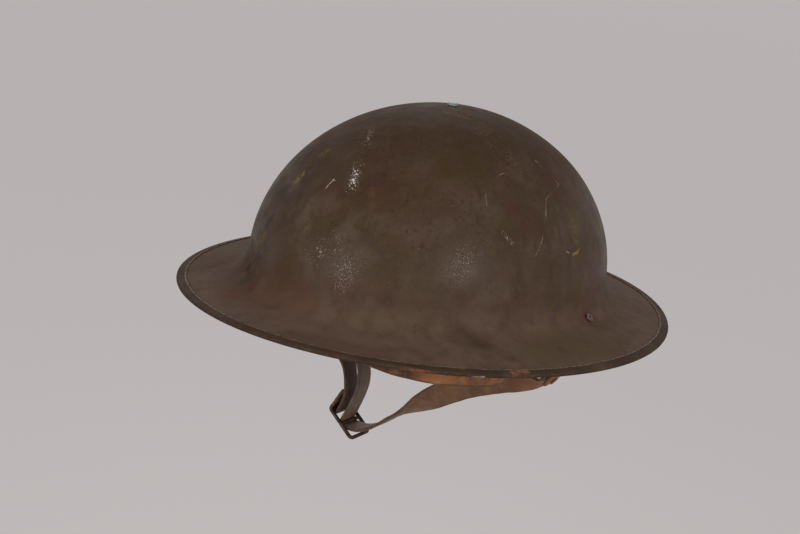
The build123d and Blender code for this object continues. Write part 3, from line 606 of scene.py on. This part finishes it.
lug_steel = old_steel("aged_lug_steel", "#59534C", "#7A736A", "#6B4630", 0.5)
wire_steel = old_steel("dark_bail_wire", "#352E28", "#514A42", "#5E3F2C", 0.45)
buckle_steel = old_steel("tarnished_buckle_wire", "#30271F", "#4F463C", "#553A29", 0.45)
rivet_steel = old_steel("small_rivet_steel", "#6D675F", "#8C867C", "#70503A", 0.4)
for name in ("left_lug", "right_lug", "crown_washer"):
    finish_node(name, lug_steel)
for name in ("left_bail", "right_bail"):
    finish_node(name, wire_steel)
finish_node("buckle", buckle_steel)
finish_node("bumper_rivets", rivet_steel)


# Strap rivet: a small brass rivet, hammered through the strap's folded end. With age it has
# turned a brownish yellow with a weak shine.
strap_brass, tree, shader, where = start_material("aged_rivet_brass", 0.45, Metallic=0.8)
skin = patches(tree, where, 1.8 * mm, 0.4, 0.62, colour("#8A6B3C"), colour("#57432B"), 4)
tree.links.new(skin, shader.inputs["Base Color"])
grained(tree, shader, where, 0.4 * mm, 0.05 * mm)
finish_node("strap_rivet", strap_brass)


# Crown pad: a disc of grey-brown pressed felt, laid between the bowl and the liner's cap, where it
# takes the bowl's curve. Its edge is soft and a little uneven.
pad_radius = 25.6 * mm
pad_half_thickness = 1.45 * mm
pad_gap = 2.5 * mm
pad_unevenness = 0.15 * mm

# With a seed of its own, the noise that moves points in all directions is the same in every run.
noise.seed_set(1)

# Pressed wool felt: no shine, and a pale soft bloom at its edge.
felt, tree, shader, where = start_material("pressed_felt", 0.95, Sheen_Weight=0.3, Sheen_Roughness=0.6)
skin = patches(tree, where, 3 * mm, 0.4, 0.65, colour("#6F6252"), colour("#8A7C69"), 6)
tree.links.new(skin, shader.inputs["Base Color"])
grained(tree, shader, where, 0.6 * mm, 0.3 * mm)

pad_section = []
for step in range(25):
    reach = pad_radius * math.sin(math.pi / 2 * step / 24)
    edge = max(0, (reach - pad_radius + pad_half_thickness) / pad_half_thickness)
    pad_section.append((reach, pad_half_thickness * math.sqrt(1 - edge**2)))
pad_shape = spun(pad_section + [(reach, -z) for reach, z in pad_section[-2::-1]], steps=96)
for vert in pad_shape.verts:
    across = vert.co.x / (bowl_half_width - pad_gap)
    along = vert.co.y / (bowl_half_length - pad_gap)
    vert.co.z += bowl_centre_height + (bowl_rise - pad_gap) * math.sqrt(1 - across**2 - along**2)
    vert.co += noise.noise_vector(vert.co / (5 * mm)) * pad_unevenness
felt_pad = keep("felt_crown_pad", pad_shape, felt, stands_for=["crown_pad"])


# Liner cap: a skull cap of black oilcloth, sewn from eight gores, with its crown held by the crown
# rivet. Its seams are sunk and it has gone slightly wavy.
cap_low, cap_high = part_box("liner_cap")
cap_rise = cap_high.z - cap_low.z
cap_thickness = 0.8 * mm
cap_ripple = 0.22 * mm
gores = 8
seam_depth = 0.5 * mm
seam_narrowness = 7

# Oilcloth, a woven cloth with a coat of boiled oil: black, with a low gloss and fine brown cracks.
oilcloth, tree, shader, where = start_material("black_oilcloth", 0.42, Coat_Weight=0.1, Coat_Roughness=0.4)
skin = patches(tree, where, 18 * mm, 0.4, 0.7, colour("#1C1916"), colour("#2B2621"))
crazing = put(tree, "TexVoronoi", {"Vector": where, "Scale": 1 / (5 * mm)}, feature="DISTANCE_TO_EDGE")
cracks = put(tree, "MapRange", {0: crazing, 1: 0.05, 2: 0.0})
thin = put(tree, "TexNoise", {"Vector": where, "Scale": 1 / (12 * mm), "Detail": 3})
thin = put(tree, "MapRange", {0: thin, 1: 0.45, 2: 0.6})
cracks = put(tree, "Math", {0: cracks, 1: thin}, operation="MULTIPLY")
skin = put(tree, "Mix", {0: cracks, 6: skin, 7: colour("#5A4E41")}, data_type="RGBA").outputs[2]
tree.links.new(skin, shader.inputs["Base Color"])
grained(tree, shader, where, 1.0 * mm, 0.12 * mm, 0.5 * mm)

cap_section = []
for shrink, order in ((0, 1), (cap_thickness, -1)):
    side = []
    for step in range(41):
        turn = math.pi / 2 * (1 - step / 40)
        reach = (cap_high.x - shrink) * math.cos(turn)
        side.append((reach, cap_low.z + (cap_rise - shrink) * math.sin(turn)))
    cap_section += side[::order]
cap_shape = spun(cap_section, steps=240)
for vert in cap_shape.verts:
    vert.co.y *= cap_high.y / cap_high.x
    height = (vert.co.z - cap_low.z) / cap_rise
    angle = math.atan2(vert.co.y / cap_high.y, vert.co.x / cap_high.x)
    off_seam = math.sin(angle * gores / 2) * seam_narrowness
    seam = math.exp(-(off_seam**2)) * math.cos(math.pi / 2 * height)
    ripple = noise.noise(vert.co / (16 * mm)) * cap_ripple
    inward = Vector((vert.co.x, vert.co.y, vert.co.z - cap_low.z)).normalized()
    vert.co -= inward * (seam * seam_depth + ripple * (1 - height**4))
keep("oilcloth_cap", cap_shape, oilcloth, stands_for=["liner_cap"])


# Headband: a band of tan leather sewn inside the cap's foot. It has dried and stretched, so that
# near the front right its edge droops and stands out below the brim.
band_low, band_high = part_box("headband")
band_thickness = 1.6 * mm
droop_depth = 14.5 * mm
droop_angle = math.radians(64.5)
droop_half_widths = (math.radians(110), math.radians(35))
droop_power = 3.2
droop_growth = 1.6
droop_flare = 4.9 * mm
shaded_foot_height = 0.7 * mm
band_wave = 1.0 * mm
band_curl = 0.35 * mm
band_tuck = 0.8 * mm
band_edge_wave = 0.7 * mm


def leather(tree, shader, where, base, dark, pale, grain=1.1 * mm):
    """Vegetable-tanned leather: pebbled grain, dark oily patches, pale dry scuffs and fine cracks."""
    skin = patches(tree, where, 22 * mm, 0.36, 0.66, colour(base), colour(dark), 4)
    skin = patches(tree, where, 7 * mm, 0.42, 0.9, skin, colour(pale), 3)
    skin = patches(tree, where, 1.8 * mm, 0.58, 0.8, skin, colour(dark), 4)
    pebble = put(tree, "TexVoronoi", {"Vector": where, "Scale": 1 / grain}, feature="DISTANCE_TO_EDGE")
    pores = put(tree, "MapRange", {0: pebble, 1: 0.0, 2: 0.22})
    crease = put(tree, "TexNoise", {"Vector": where, "Scale": 1 / (5 * mm), "Detail": 6, "Roughness": 0.65})
    height = put(tree, "Bump", {"Height": pores, "Distance": 0.07 * mm, "Strength": 1})
    height = put(tree, "Bump", {"Height": crease, "Distance": 0.9 * mm, "Strength": 1, "Normal": height})
    tree.links.new(height.outputs[0], shader.inputs["Normal"])
    return skin


def oval_band(half_width, half_length, thickness, foot, top, steps, rows=14):
    """Upright oval leather band with rounded edges, measured outside."""
    round_over = thickness / 2
    section = arc((-round_over, top - round_over), round_over, 0, math.pi, 6)
    for row in range(1, rows):
        section.append((-thickness, top - round_over + (foot - top + thickness) * row / rows))
    section += arc((-round_over, foot + round_over), round_over, math.pi, math.pi, 6)
    for row in range(1, rows):
        section.append((0, foot + round_over + (top - foot - thickness) * row / rows))
    shape = spun([(half_width + out, z) for out, z in section], steps, closed=True)
    for vert in shape.verts:
        reach = math.hypot(vert.co.x, vert.co.y)
        vert.co.y *= (reach + half_length - half_width) / reach
    return shape


def droop_at(angle):
    """How far the headband's edge hangs at an angle from the front towards the right, as a share."""
    off = (angle - droop_angle + math.pi) % (2 * math.pi) - math.pi
    off /= droop_half_widths[0] if off < 0 else droop_half_widths[1]
    return math.cos(math.pi / 2 * off) ** droop_power if abs(off) < 1 else 0


def band_point(vert_co):
    """Where a point of the even headband lies on the drooping one."""
    angle = math.atan2(vert_co.x / band_high.x, -vert_co.y / band_high.y)
    down = (band_high.z - vert_co.z) / (band_high.z - band_low.z)
    droop = droop_at(angle) * down**droop_growth
    out = Vector((vert_co.x, vert_co.y, 0)).normalized()
    place = vert_co.copy()
    place.z -= droop * droop_depth
    wave = noise.noise(Vector((angle * 2.2, down * 0.6, 3))) * band_wave
    curl = noise.noise(Vector((angle * 9, down, 7))) * band_curl
    place += out * (droop * droop_flare + (wave - band_tuck + curl) * down)
    place.z += noise.noise(Vector((angle * 5, 0, 5))) * band_edge_wave * down
    return place


# Vegetable-tanned leather, undyed: orange tan with browner patches, matt and dry, darkened by painted
# shade where it hangs lowest and along its cut foot.
band_leather, tree, shader, where = start_material("tan_band_leather", 0.6, Sheen_Weight=0.08)
skin = leather(tree, shader, where, "#B27245", "#80502F", "#C48B5A")
shade_breakup = put(tree, "TexNoise", {"Vector": where, "Scale": 1 / (6 * mm), "Detail": 4})
shade_breakup = put(tree, "MapRange", {0: shade_breakup, 1: 0.3, 2: 0.5}).outputs[0]
# Painted shade: a dark patch on the front, where the band hangs lowest.
skin = mark(tree, where, shade_breakup, (10, -103, -16), (42, -88, -20), 12, skin, colour("#4C3120"))
# Painted shade along the band's foot, broken by the same pattern.
foot = put(tree, "Attribute", attribute_name="foot").outputs["Fac"]
foot = put(tree, "Math", {0: foot, 1: shade_breakup}, operation="MULTIPLY")
skin = put(tree, "Mix", {0: foot, 6: skin, 7: colour("#54361F")}, data_type="RGBA").outputs[2]
tree.links.new(skin, shader.inputs["Base Color"])
band_shape = oval_band(band_high.x, band_high.y, band_thickness, band_low.z, band_high.z, steps=360)
foot_shade_layer = band_shape.verts.layers.float.new("foot")
for vert in band_shape.verts:
    vert[foot_shade_layer] = 1 if vert.co.z < band_low.z + shaded_foot_height else 0
    vert.co = band_point(vert.co)
keep("leather_headband", band_shape, band_leather, stands_for=["headband"])


# Stitching: waxed linen thread along the headband's foot, and across the strap where its end is
# sewn round the buckle's first bar. The wax keeps the thread dark and its surface dull.
stitch_length = 2.6 * mm
stitch_pitch = 3.9 * mm
stitch_thickness = 0.55 * mm
stitch_height = band_low.z + 6.0 * mm
stitch_share = 0.3
stitch_lift = 0.05 * mm

thread, tree, shader, where = start_material("waxed_thread", 0.7)
skin = patches(tree, where, 1.5 * mm, 0.4, 0.6, colour("#3A2A1D"), colour("#5C4630"), 2)
tree.links.new(skin, shader.inputs["Base Color"])
grained(tree, shader, where, 0.35 * mm, 0.12 * mm)


def sew(shape, place, along, out):
    """Adds one stitch: a short plump thread lying along the leather."""
    along, out = along.normalized(), out.normalized()
    side = out.cross(along)
    spread = Matrix((along * stitch_length / 2, side * stitch_thickness / 2, out * stitch_thickness / 2))
    turned = spread.transposed().to_4x4()
    turned.translation = place
    bmesh.ops.create_icosphere(shape, subdivisions=2, radius=1, matrix=turned)


band_thread = bmesh.new()
band_perimeter = math.pi * (band_high.x + band_high.y)
stitch_count = round(band_perimeter / stitch_pitch)
for number in range(stitch_count):
    ends = []
    for nudge in (-stitch_share, stitch_share):
        turn = 2 * math.pi * (number + nudge) / stitch_count
        even = Vector((band_high.x * math.sin(turn), -band_high.y * math.cos(turn), stitch_height))
        ends.append(band_point(even))
    middle = (ends[0] + ends[1]) / 2
    outside = Vector((middle.x / band_high.x**2, middle.y / band_high.y**2, 0)).normalized()
    sew(band_thread, middle + outside * stitch_lift, ends[1] - ends[0], outside)
    sew(band_thread, middle - outside * (band_thickness + stitch_lift), ends[1] - ends[0], outside)
keep("headband_stitching", band_thread, thread)


# Hoop and bumpers: a leather strip round the cap carries twelve upright lengths of black rubber
# tube, each held by a small rivet, which keep the shell off the head.
hoop_low, hoop_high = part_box("bumper_hoop")
hoop_thickness = 1.5 * mm
hoop_wave = 0.5 * mm

# The same kind of leather, dyed brown, which has hardly seen the light: dark and evenly matt.
hoop_leather, tree, shader, where = start_material("brown_hoop_leather", 0.6, Sheen_Weight=0.08)
skin = leather(tree, shader, where, "#54392A", "#33231A", "#6E4E39")
tree.links.new(skin, shader.inputs["Base Color"])
hoop_shape = oval_band(hoop_high.x, hoop_high.y, hoop_thickness, hoop_low.z, hoop_high.z, steps=240, rows=6)
for vert in hoop_shape.verts:
    vert.co.z += noise.noise(vert.co / (22 * mm)) * hoop_wave
keep("leather_hoop", hoop_shape, hoop_leather, stands_for=["bumper_hoop"])

bumper_count = 12
bumper_low, bumper_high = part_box("bumpers")
bumper_radius = 7.25 * mm
bumper_wall = 2.6 * mm
lip_round = 0.7 * mm
bumper_reach = 91.42 * mm
bumper_end_reach = bumper_reach + bowl_half_length - bowl_half_width
bumper_unevenness = 0.012

# Old vulcanised rubber: a matt grey-black, with a paler bloom in patches and spots.
rubber, tree, shader, where = start_material("aged_black_rubber", 0.7)
skin = patches(tree, where, 9 * mm, 0.4, 0.68, colour("#24211F"), colour("#3D3833"), 4)
skin = patches(tree, where, 1.6 * mm, 0.58, 0.72, skin, colour("#5A524A"), 4)
tree.links.new(skin, shader.inputs["Base Color"])
grained(tree, shader, where, 0.7 * mm, 0.15 * mm, 0.3 * mm)


def add_to(shape, part):
    """Adds a finished shape to another and clears it away."""
    mesh = bpy.data.meshes.new("part")
    part.to_mesh(mesh)
    part.free()
    shape.from_mesh(mesh)
    bpy.data.meshes.remove(mesh)


lips = (
    (bumper_radius - lip_round, bumper_low.z + lip_round),
    (bumper_radius - lip_round, bumper_high.z - lip_round),
    (bumper_radius - bumper_wall + lip_round, bumper_high.z - lip_round),
    (bumper_radius - bumper_wall + lip_round, bumper_low.z + lip_round),
)
tube_section = []
for quarter, lip in enumerate(lips):
    tube_section += arc(lip, lip_round, (quarter - 1) * math.pi / 2, math.pi / 2, 3)
bumper_shape = bmesh.new()
for number in range(bumper_count):
    turn = 2 * math.pi * (number + 1 / 2) / bumper_count
    tube = spun(tube_section, steps=36, closed=True)
    middle = Vector((bumper_reach * math.cos(turn), bumper_end_reach * math.sin(turn), 0))
    for vert in tube.verts:
        vert.co.xy *= 1 + bumper_unevenness * noise.noise(vert.co / (8 * mm) + middle * 40)
        vert.co += middle
    add_to(bumper_shape, tube)
keep("rubber_bumpers", bumper_shape, rubber, stands_for=["bumpers"])


# Head net: cotton twine knotted in diamonds, sewn in at the cap's foot and drawn together round an
# open mouth at the top, where a cord runs through it.
net_low, net_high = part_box("head_net")
net_columns = 24
net_rows = 12
twine_thickness = 1.2 * mm
mouth_radius = 22.6 * mm
net_half_width = net_high.x - twine_thickness / 2
net_half_length = net_high.y - twine_thickness / 2
net_rise = 93.0 * mm
net_unevenness = 1.5 * mm
net_sag = 1.2 * mm
net_weave = twine_thickness * 0.3
knot_radius = 1.1 * mm
twine_lay = 1.4 * mm

# Cotton twine, twisted from plies: matt, a dusty straw colour with grey dirt, ribbed by its twist.
twine, tree, shader, where = start_material("cotton_twine", 0.9, Sheen_Weight=0.25, Sheen_Roughness=0.6)
skin = patches(tree, where, 8 * mm, 0.4, 0.68, colour("#9C8A68"), colour("#6E5D43"), 4)
skin = patches(tree, where, 1.0 * mm, 0.5, 0.7, skin, colour("#B7A885"), 3)
tree.links.new(skin, shader.inputs["Base Color"])
ribs_per_metre = 1 / twine_lay / math.tau
laid = put(tree, "TexWave", {"Vector": where, "Scale": ribs_per_metre, "Distortion": 6, "Detail": 2})
height = put(tree, "Bump", {"Height": laid, "Distance": 0.16 * mm, "Strength": 1})
tree.links.new(height.outputs[0], shader.inputs["Normal"])


def swept(path, sections):
    """Sweeps sections along a path: at each point, the section's corners as vectors from it."""
    shape = bmesh.new()
    rings = []
    for place, section in zip(path, sections):
        rings.append([shape.verts.new(place + corner) for corner in section])
    for here, after in zip(rings, rings[1:]):
        count = len(here)
        for side in range(count):
            shape.faces.new((here[side], here[(side + 1) % count], after[(side + 1) % count], after[side]))
    shape.faces.new(rings[0][::-1])
    shape.faces.new(rings[-1])
    return shape


def round_section(side, over, radius, corners):
    """Corners of a round section that lies across two directions."""
    turns = [2 * math.pi * corner / corners for corner in range(corners)]
    return [(side * math.cos(turn) + over * math.sin(turn)) * radius for turn in turns]


def smoothed(points, rounds=3):
    """Rounds a route by cutting its corners again and again. Its ends stay."""
    for _ in range(rounds):
        softer = [points[0]]
        for here, after in zip(points, points[1:]):
            softer += [here.lerp(after, 0.25), here.lerp(after, 0.75)]
        points = softer + [points[-1]]
    return points


mouth_turn = math.acos(mouth_radius / net_half_width)
net_spread = (net_half_length - mouth_radius) / (net_half_width - mouth_radius)


def net_point(row, column):
    """Where a crossing of the net lies: rows rise from the foot, columns go round."""
    rise = mouth_turn * (row / net_rows) ** 0.9
    around = math.pi * column / net_columns
    reach = net_half_width * math.cos(rise)
    length = mouth_radius + (reach - mouth_radius) * net_spread
    height = net_low.z + net_rise * math.sin(rise)
    place = Vector((reach * math.cos(around), length * math.sin(around), height))
    loose = math.sin(math.pi * row / net_rows)
    place += noise.noise_vector(place / (20 * mm)) * net_unevenness * loose
    place.z -= net_sag * loose
    return place


# Each strand leans one way as it rises and passes over and under the strands that lean the other.
net_shape = bmesh.new()
for lean in (-1, 1):
    for start in range(0, 2 * net_columns, 2):
        points = []
        for row in range(net_rows + 1):
            crossing = net_point(row, start + lean * row)
            outward = Vector((crossing.x, crossing.y, crossing.z - net_low.z)).normalized()
            points.append(crossing + outward * lean * (-1) ** row * net_weave)
        path = smoothed(points, 2)
        sections = []
        for number, place in enumerate(path):
            along = (path[min(number + 1, len(path) - 1)] - path[max(number - 1, 0)]).normalized()
            outward = Vector((place.x, place.y, place.z - net_low.z)).normalized()
            side = along.cross(outward).normalized()
            thick = twine_thickness / 2 * (1 + 0.12 * noise.noise(place / (3 * mm)))
            sections.append(round_section(side, side.cross(along), thick, 6))
        add_to(net_shape, swept(path, sections))
for row in range(1, net_rows):
    for column in range(row % 2, 2 * net_columns, 2):
        crossing = net_point(row, column)
        knot = Matrix.Translation(crossing) @ Matrix.Diagonal((1, 1, 0.85, 1))
        bmesh.ops.create_icosphere(net_shape, subdivisions=2, radius=knot_radius, matrix=knot)
keep("twine_net", net_shape, twine, stands_for=["head_net"], crease=80)


# Drawstring: a braided cotton cord threaded through the net's mouth and tied with a plain knot,
# whose two ends hang a short way down.
string_low, string_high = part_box("drawstring")
string_radius = (string_high.z - string_low.z) / 2
string_reach = string_high.x - string_radius
string_height = (string_high.z + string_low.z) / 2
tail_radius = string_radius * 0.9

# Braided cotton: matt, cleaner and paler than the twine, mottled by the crossing of its strands.
braid, tree, shader, where = start_material("braided_cotton_cord", 0.88, Sheen_Weight=0.2)
skin = patches(tree, where, 1.1 * mm, 0.42, 0.6, colour("#A99A7A"), colour("#CDBF9F"), 3)
skin = patches(tree, where, 9 * mm, 0.5, 0.75, skin, colour("#8B7A5A"), 3)
tree.links.new(skin, shader.inputs["Base Color"])
grained(tree, shader, where, 0.6 * mm, 0.2 * mm)

string_section = arc((string_reach, string_height), string_radius, 0, 2 * math.pi, 12)[:-1]
string_shape = spun(string_section, steps=120, closed=True)

# The knot is three rounded turns pressed together. Their places and the tails' routes are in
# millimetres from its middle.
knot_place = Vector((string_reach, 0, string_height))
for nudge, size in (((-0.6, 0.9, 0.1), 1.5), ((-0.4, -0.9, -0.2), 1.5), ((-1.2, 0, -0.8), 1.6)):
    bmesh.ops.create_uvsphere(
        string_shape,
        u_segments=14,
        v_segments=10,
        radius=size * mm,
        matrix=Matrix.Translation(knot_place + Vector(nudge) * mm),
    )
for side in (-1, 1):
    tail = [(-1, side * 0.8, -0.6), (-2.4, side * 2.2, -2.5), (-3.4, side * 3.4, -8)]
    tail += [(-2.8, side * 3.0, -15), (-3.6, side * 4.4, -22 - 2 * side)]
    path = smoothed([knot_place + Vector(point) * mm for point in tail])
    sections = [round_section(Vector((1, 0, 0)), Vector((0, 1, 0)), tail_radius, 8) for _ in path]
    add_to(string_shape, swept(path, sections))
keep("net_drawstring", string_shape, braid, stands_for=["drawstring"], crease=80)


# Chin strap: one strip of brown russet leather, dry, stained and cracked. It is sewn round the
# buckle's first bar, rises to the left bail, falls back to the buckle's middle bar and then runs,
# turning over as it goes, up to the right bail, where its end is folded over and riveted.
strap_half_width = 8.0 * mm
strap_half_thickness = 1.0 * mm
strap_edge_waver = 0.03
strap_thickness_waver = 0.08
strap_roughness = 0.16 * mm
strap_cupping = 0.7 * mm
strap_waver = math.radians(9)

# The strap's route is in millimetres, across and up, in the upright plane of the bails.
bar_reach = 97.61
bar_height = 1.38
turn_radius = 3.1
wrap_radius = 2.5
first_bar = (-52.40, -90.92)
middle_bar = (-43.83, -97.81)
tail_top = (-47.54, -76.90)
tail_foot = (-54.3, -89.2)


def round_bar(centre, radius, start, sweep, steps):
    """Corners of a route that hugs a bar, from an angle in degrees, with no twist."""
    out = radius / math.cos(math.radians(sweep / steps / 2))
    corners = []
    for step in range(steps):
        turn = math.radians(start + sweep * (step + 0.5) / steps)
        corners.append((centre[0] + out * math.cos(turn), centre[1] + out * math.sin(turn), 0))
    return corners


# Each point of the route has its twist in degrees as its third value.
outer_side = bar_reach + turn_radius
inner_side = bar_reach - turn_radius
strap_route = [(*tail_top, 0), (-51.0, -83.4, 0), (*tail_foot, 0)]
strap_route += round_bar(first_bar, wrap_radius, 151.2, 187.6, 6)
strap_route += [(-49.9, -91.5, 0), (-46.0, -80.4, 5), (-47.0, -69.4, 8), (-51.4, -57.6, 8)]
strap_route += [(-67.0, -46.8, 4), (-89.3, -33.6, 0), (-100.6, -11.5, 0), (-outer_side, -2.0, 0)]
strap_route += round_bar((-bar_reach, bar_height), turn_radius, 180, -180, 6)
strap_route += [(-inner_side, -2.0, 0), (-94.4, -9.2, 0), (-83.9, -25.9, 0), (-64.4, -38.8, -4)]
strap_route += [(-45.0, -48.8, -8), (-37.3, -60.4, -8), (-37.4, -75.4, -5), (-45.7, -95.8, 0)]
strap_route += round_bar(middle_bar, wrap_radius, 157.9, 113.5, 4)
strap_route += [(-42.5, -100.33, 0), (-34.0, -100.1, 0), (-25.6, -96.0, 0), (-17.5, -89.7, 0)]
strap_route += [(-11.3, -84.1, -2), (-2.8, -78.3, -16), (4.6, -71.9, -37), (14.6, -63.9, -62)]
strap_route += [(23.6, -57.3, -76), (32.7, -51.4, -78), (43.2, -46.2, -78), (53.7, -41.6, -70)]
strap_route += [(64.0, -38.2, -62), (72.9, -35.4, -54), (80.0, -33.2, -36), (86.1, -31.0, -8)]
strap_route += [(90.4, -24.6, 0), (93.4, -16.5, 0), (inner_side, -8.0, 0), (inner_side, -2.0, 0)]
strap_route += round_bar((bar_reach, bar_height), turn_radius, 180, -180, 6)
strap_route += [(outer_side, -2.0, 0), (100.2, -8.6, 0), (95.9, -17.4, 0), (92.5, -25.0, 0)]
strap_route += [(88.6, -31.4, 0)]

route = smoothed([Vector(point) for point in strap_route])
strap_path = [Vector((point.x, 0, point.y)) * mm for point in route]
strap_twists = [math.radians(point.z) for point in route]
strap_run = [0.0]
for here, after in zip(strap_path, strap_path[1:]):
    strap_run.append(strap_run[-1] + (after - here).length)


def run_near(across, up):
    """How far along the strap its path passes a place."""
    place = Vector((across, 0, up)) * mm
    gaps = [(point - place).length for point in strap_path]
    return strap_run[gaps.index(min(gaps))]


# A section's corners as shares of the half width and the half thickness, which is full as far as
# the edge's rounding.
rounding_start = 0.9
upper_side = []
for across in (-0.97, -0.9, -0.75, -0.5, -0.25, 0, 0.25, 0.5, 0.75, 0.9, 0.97):
    rounded = max(0, abs(across) - rounding_start) / (1 - rounding_start)
    upper_side.append((across, math.sqrt(1 - rounded**2)))
lower_side = [(across, -full) for across, full in upper_side[::-1]]
strap_corners = [(-1, 0), *upper_side, (1, 0), *lower_side]

strap_sections = []
for number, place in enumerate(strap_path):
    before = strap_path[max(0, number - 1)]
    after = strap_path[min(len(strap_path) - 1, number + 1)]
    along = (after - before).normalized()
    upright = along.cross(Vector((0, 1, 0)))
    run = strap_run[number]
    from_buckle = min(1, max(0, (place.x / mm + 35) / 20))
    to_bail = min(1, max(0, (84 - place.x / mm) / 14))
    free = from_buckle * to_bail
    twist = strap_twists[number] + free * noise.noise(Vector((run / (26 * mm), 1, 0))) * strap_waver
    spread = Vector((0, 1, 0)) * math.cos(twist) + upright * math.sin(twist)
    facing = spread.cross(along)
    ring = []
    for across, full in strap_corners:
        edge = 1 + strap_edge_waver * noise.noise(Vector((run / (7 * mm), across * 3, 2)))
        thick = 1 + strap_thickness_waver * noise.noise(Vector((run / (9 * mm), across, 9)))
        cup = free * strap_cupping * (across**2 - 0.4) * noise.noise(Vector((run / (18 * mm), 4, 0)))
        rough = strap_roughness * noise.noise(Vector((run / (4 * mm), across * 2.2, full * 0.4)))
        out = full * strap_half_thickness * thick + cup + rough
        ring.append(spread * across * strap_half_width * edge + facing * out)
    strap_sections.append(ring)
strap_shape = swept(strap_path, strap_sections)
run_layer = strap_shape.verts.layers.float.new("run")
across_layer = strap_shape.verts.layers.float.new("across")
face_layer = strap_shape.verts.layers.float.new("face")
for number, vert in enumerate(strap_shape.verts):
    vert[run_layer] = strap_run[number // len(strap_corners)]
    vert[across_layer], vert[face_layer] = strap_corners[number % len(strap_corners)]

# Russet leather: matt and dry, its grain drawn along the strap by the piece's own attributes. The
# outer strand is darker with painted shade, the inner one greyer and paler with painted light, and
# the stretch at the right bail more orange.
strap_leather, tree, shader = start_material("russet_strap_leather", 0.66, Sheen_Weight=0.1)[:3]
run_along = put(tree, "Attribute", attribute_name="run").outputs["Fac"]
across_it = put(tree, "Attribute", attribute_name="across").outputs["Fac"]
which_face = put(tree, "Attribute", attribute_name="face").outputs["Fac"]
sideways = put(tree, "Math", {0: across_it, 1: strap_half_width}, operation="MULTIPLY")
depth = put(tree, "Math", {0: which_face, 1: strap_half_thickness}, operation="MULTIPLY")
on_strap = put(tree, "CombineXYZ", {0: run_along, 1: sideways, 2: depth}).outputs[0]
skin = leather(tree, shader, on_strap, "#76502F", "#523521", "#8E6745")
fade = 8 * mm
# The first two are painted shade on the outer strand and painted light on the inner one.
for start, end, tint, amount in (
    ((-45.6, -80.4), (-100.7, -2), "#4A3325", 0.6),
    ((-94.5, -9), (-45.7, -90), "#74655A", 0.65),
    ((64, -38), (100, 1), "#9C6439", 0.75),
    ((100, 1), (88.6, -31.4), "#9C6439", 0.75),
):
    from_run, to_run = run_near(*start), run_near(*end)
    begins = put(tree, "MapRange", {0: run_along, 1: from_run - fade, 2: from_run + fade, 4: amount})
    ends = put(tree, "MapRange", {0: run_along, 1: to_run + fade, 2: to_run - fade})
    between = put(tree, "Math", {0: begins, 1: ends}, operation="MULTIPLY")
    skin = put(tree, "Mix", {0: between, 6: skin, 7: colour(tint)}, data_type="RGBA").outputs[2]
near_edge = put(tree, "Math", {0: across_it}, operation="ABSOLUTE")
near_edge = put(tree, "MapRange", {0: near_edge, 1: 0.8, 2: 1.0})
edge_noise = put(tree, "TexNoise", {"Vector": on_strap, "Scale": 1 / (3 * mm), "Detail": 3})
near_edge = put(tree, "Math", {0: near_edge, 1: edge_noise}, operation="MULTIPLY")
skin = put(tree, "Mix", {0: near_edge, 6: skin, 7: colour("#2C1E15")}, data_type="RGBA").outputs[2]
tree.links.new(skin, shader.inputs["Base Color"])
strap = keep("leather_chin_strap", strap_shape, strap_leather, body=None, crease=70)
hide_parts("chin_strap", "left_strap_turn", "right_strap_end")
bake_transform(strap)

# Two rows of stitches hold the sewn end, above the buckle.
strap_thread = bmesh.new()
tail_start, tail_end = (Vector((across, 0, up)) * mm for across, up in (tail_top, tail_foot))
tail_out = (tail_end - tail_start).cross(Vector((0, 1, 0))).normalized()
tail_out *= math.copysign(1, -tail_out.x)
for share in (0.22, 0.62):
    for step in (-1.5, -0.5, 0.5, 1.5):
        across = Vector((0, step * stitch_pitch, 0))
        place = tail_start.lerp(tail_end, share) + across + tail_out * (strap_half_thickness + 0.1 * mm)
        sew(strap_thread, place, Vector((0, 1, 0)), tail_out)
keep("buckle_loop_stitching", strap_thread, thread, body="chin_strap")
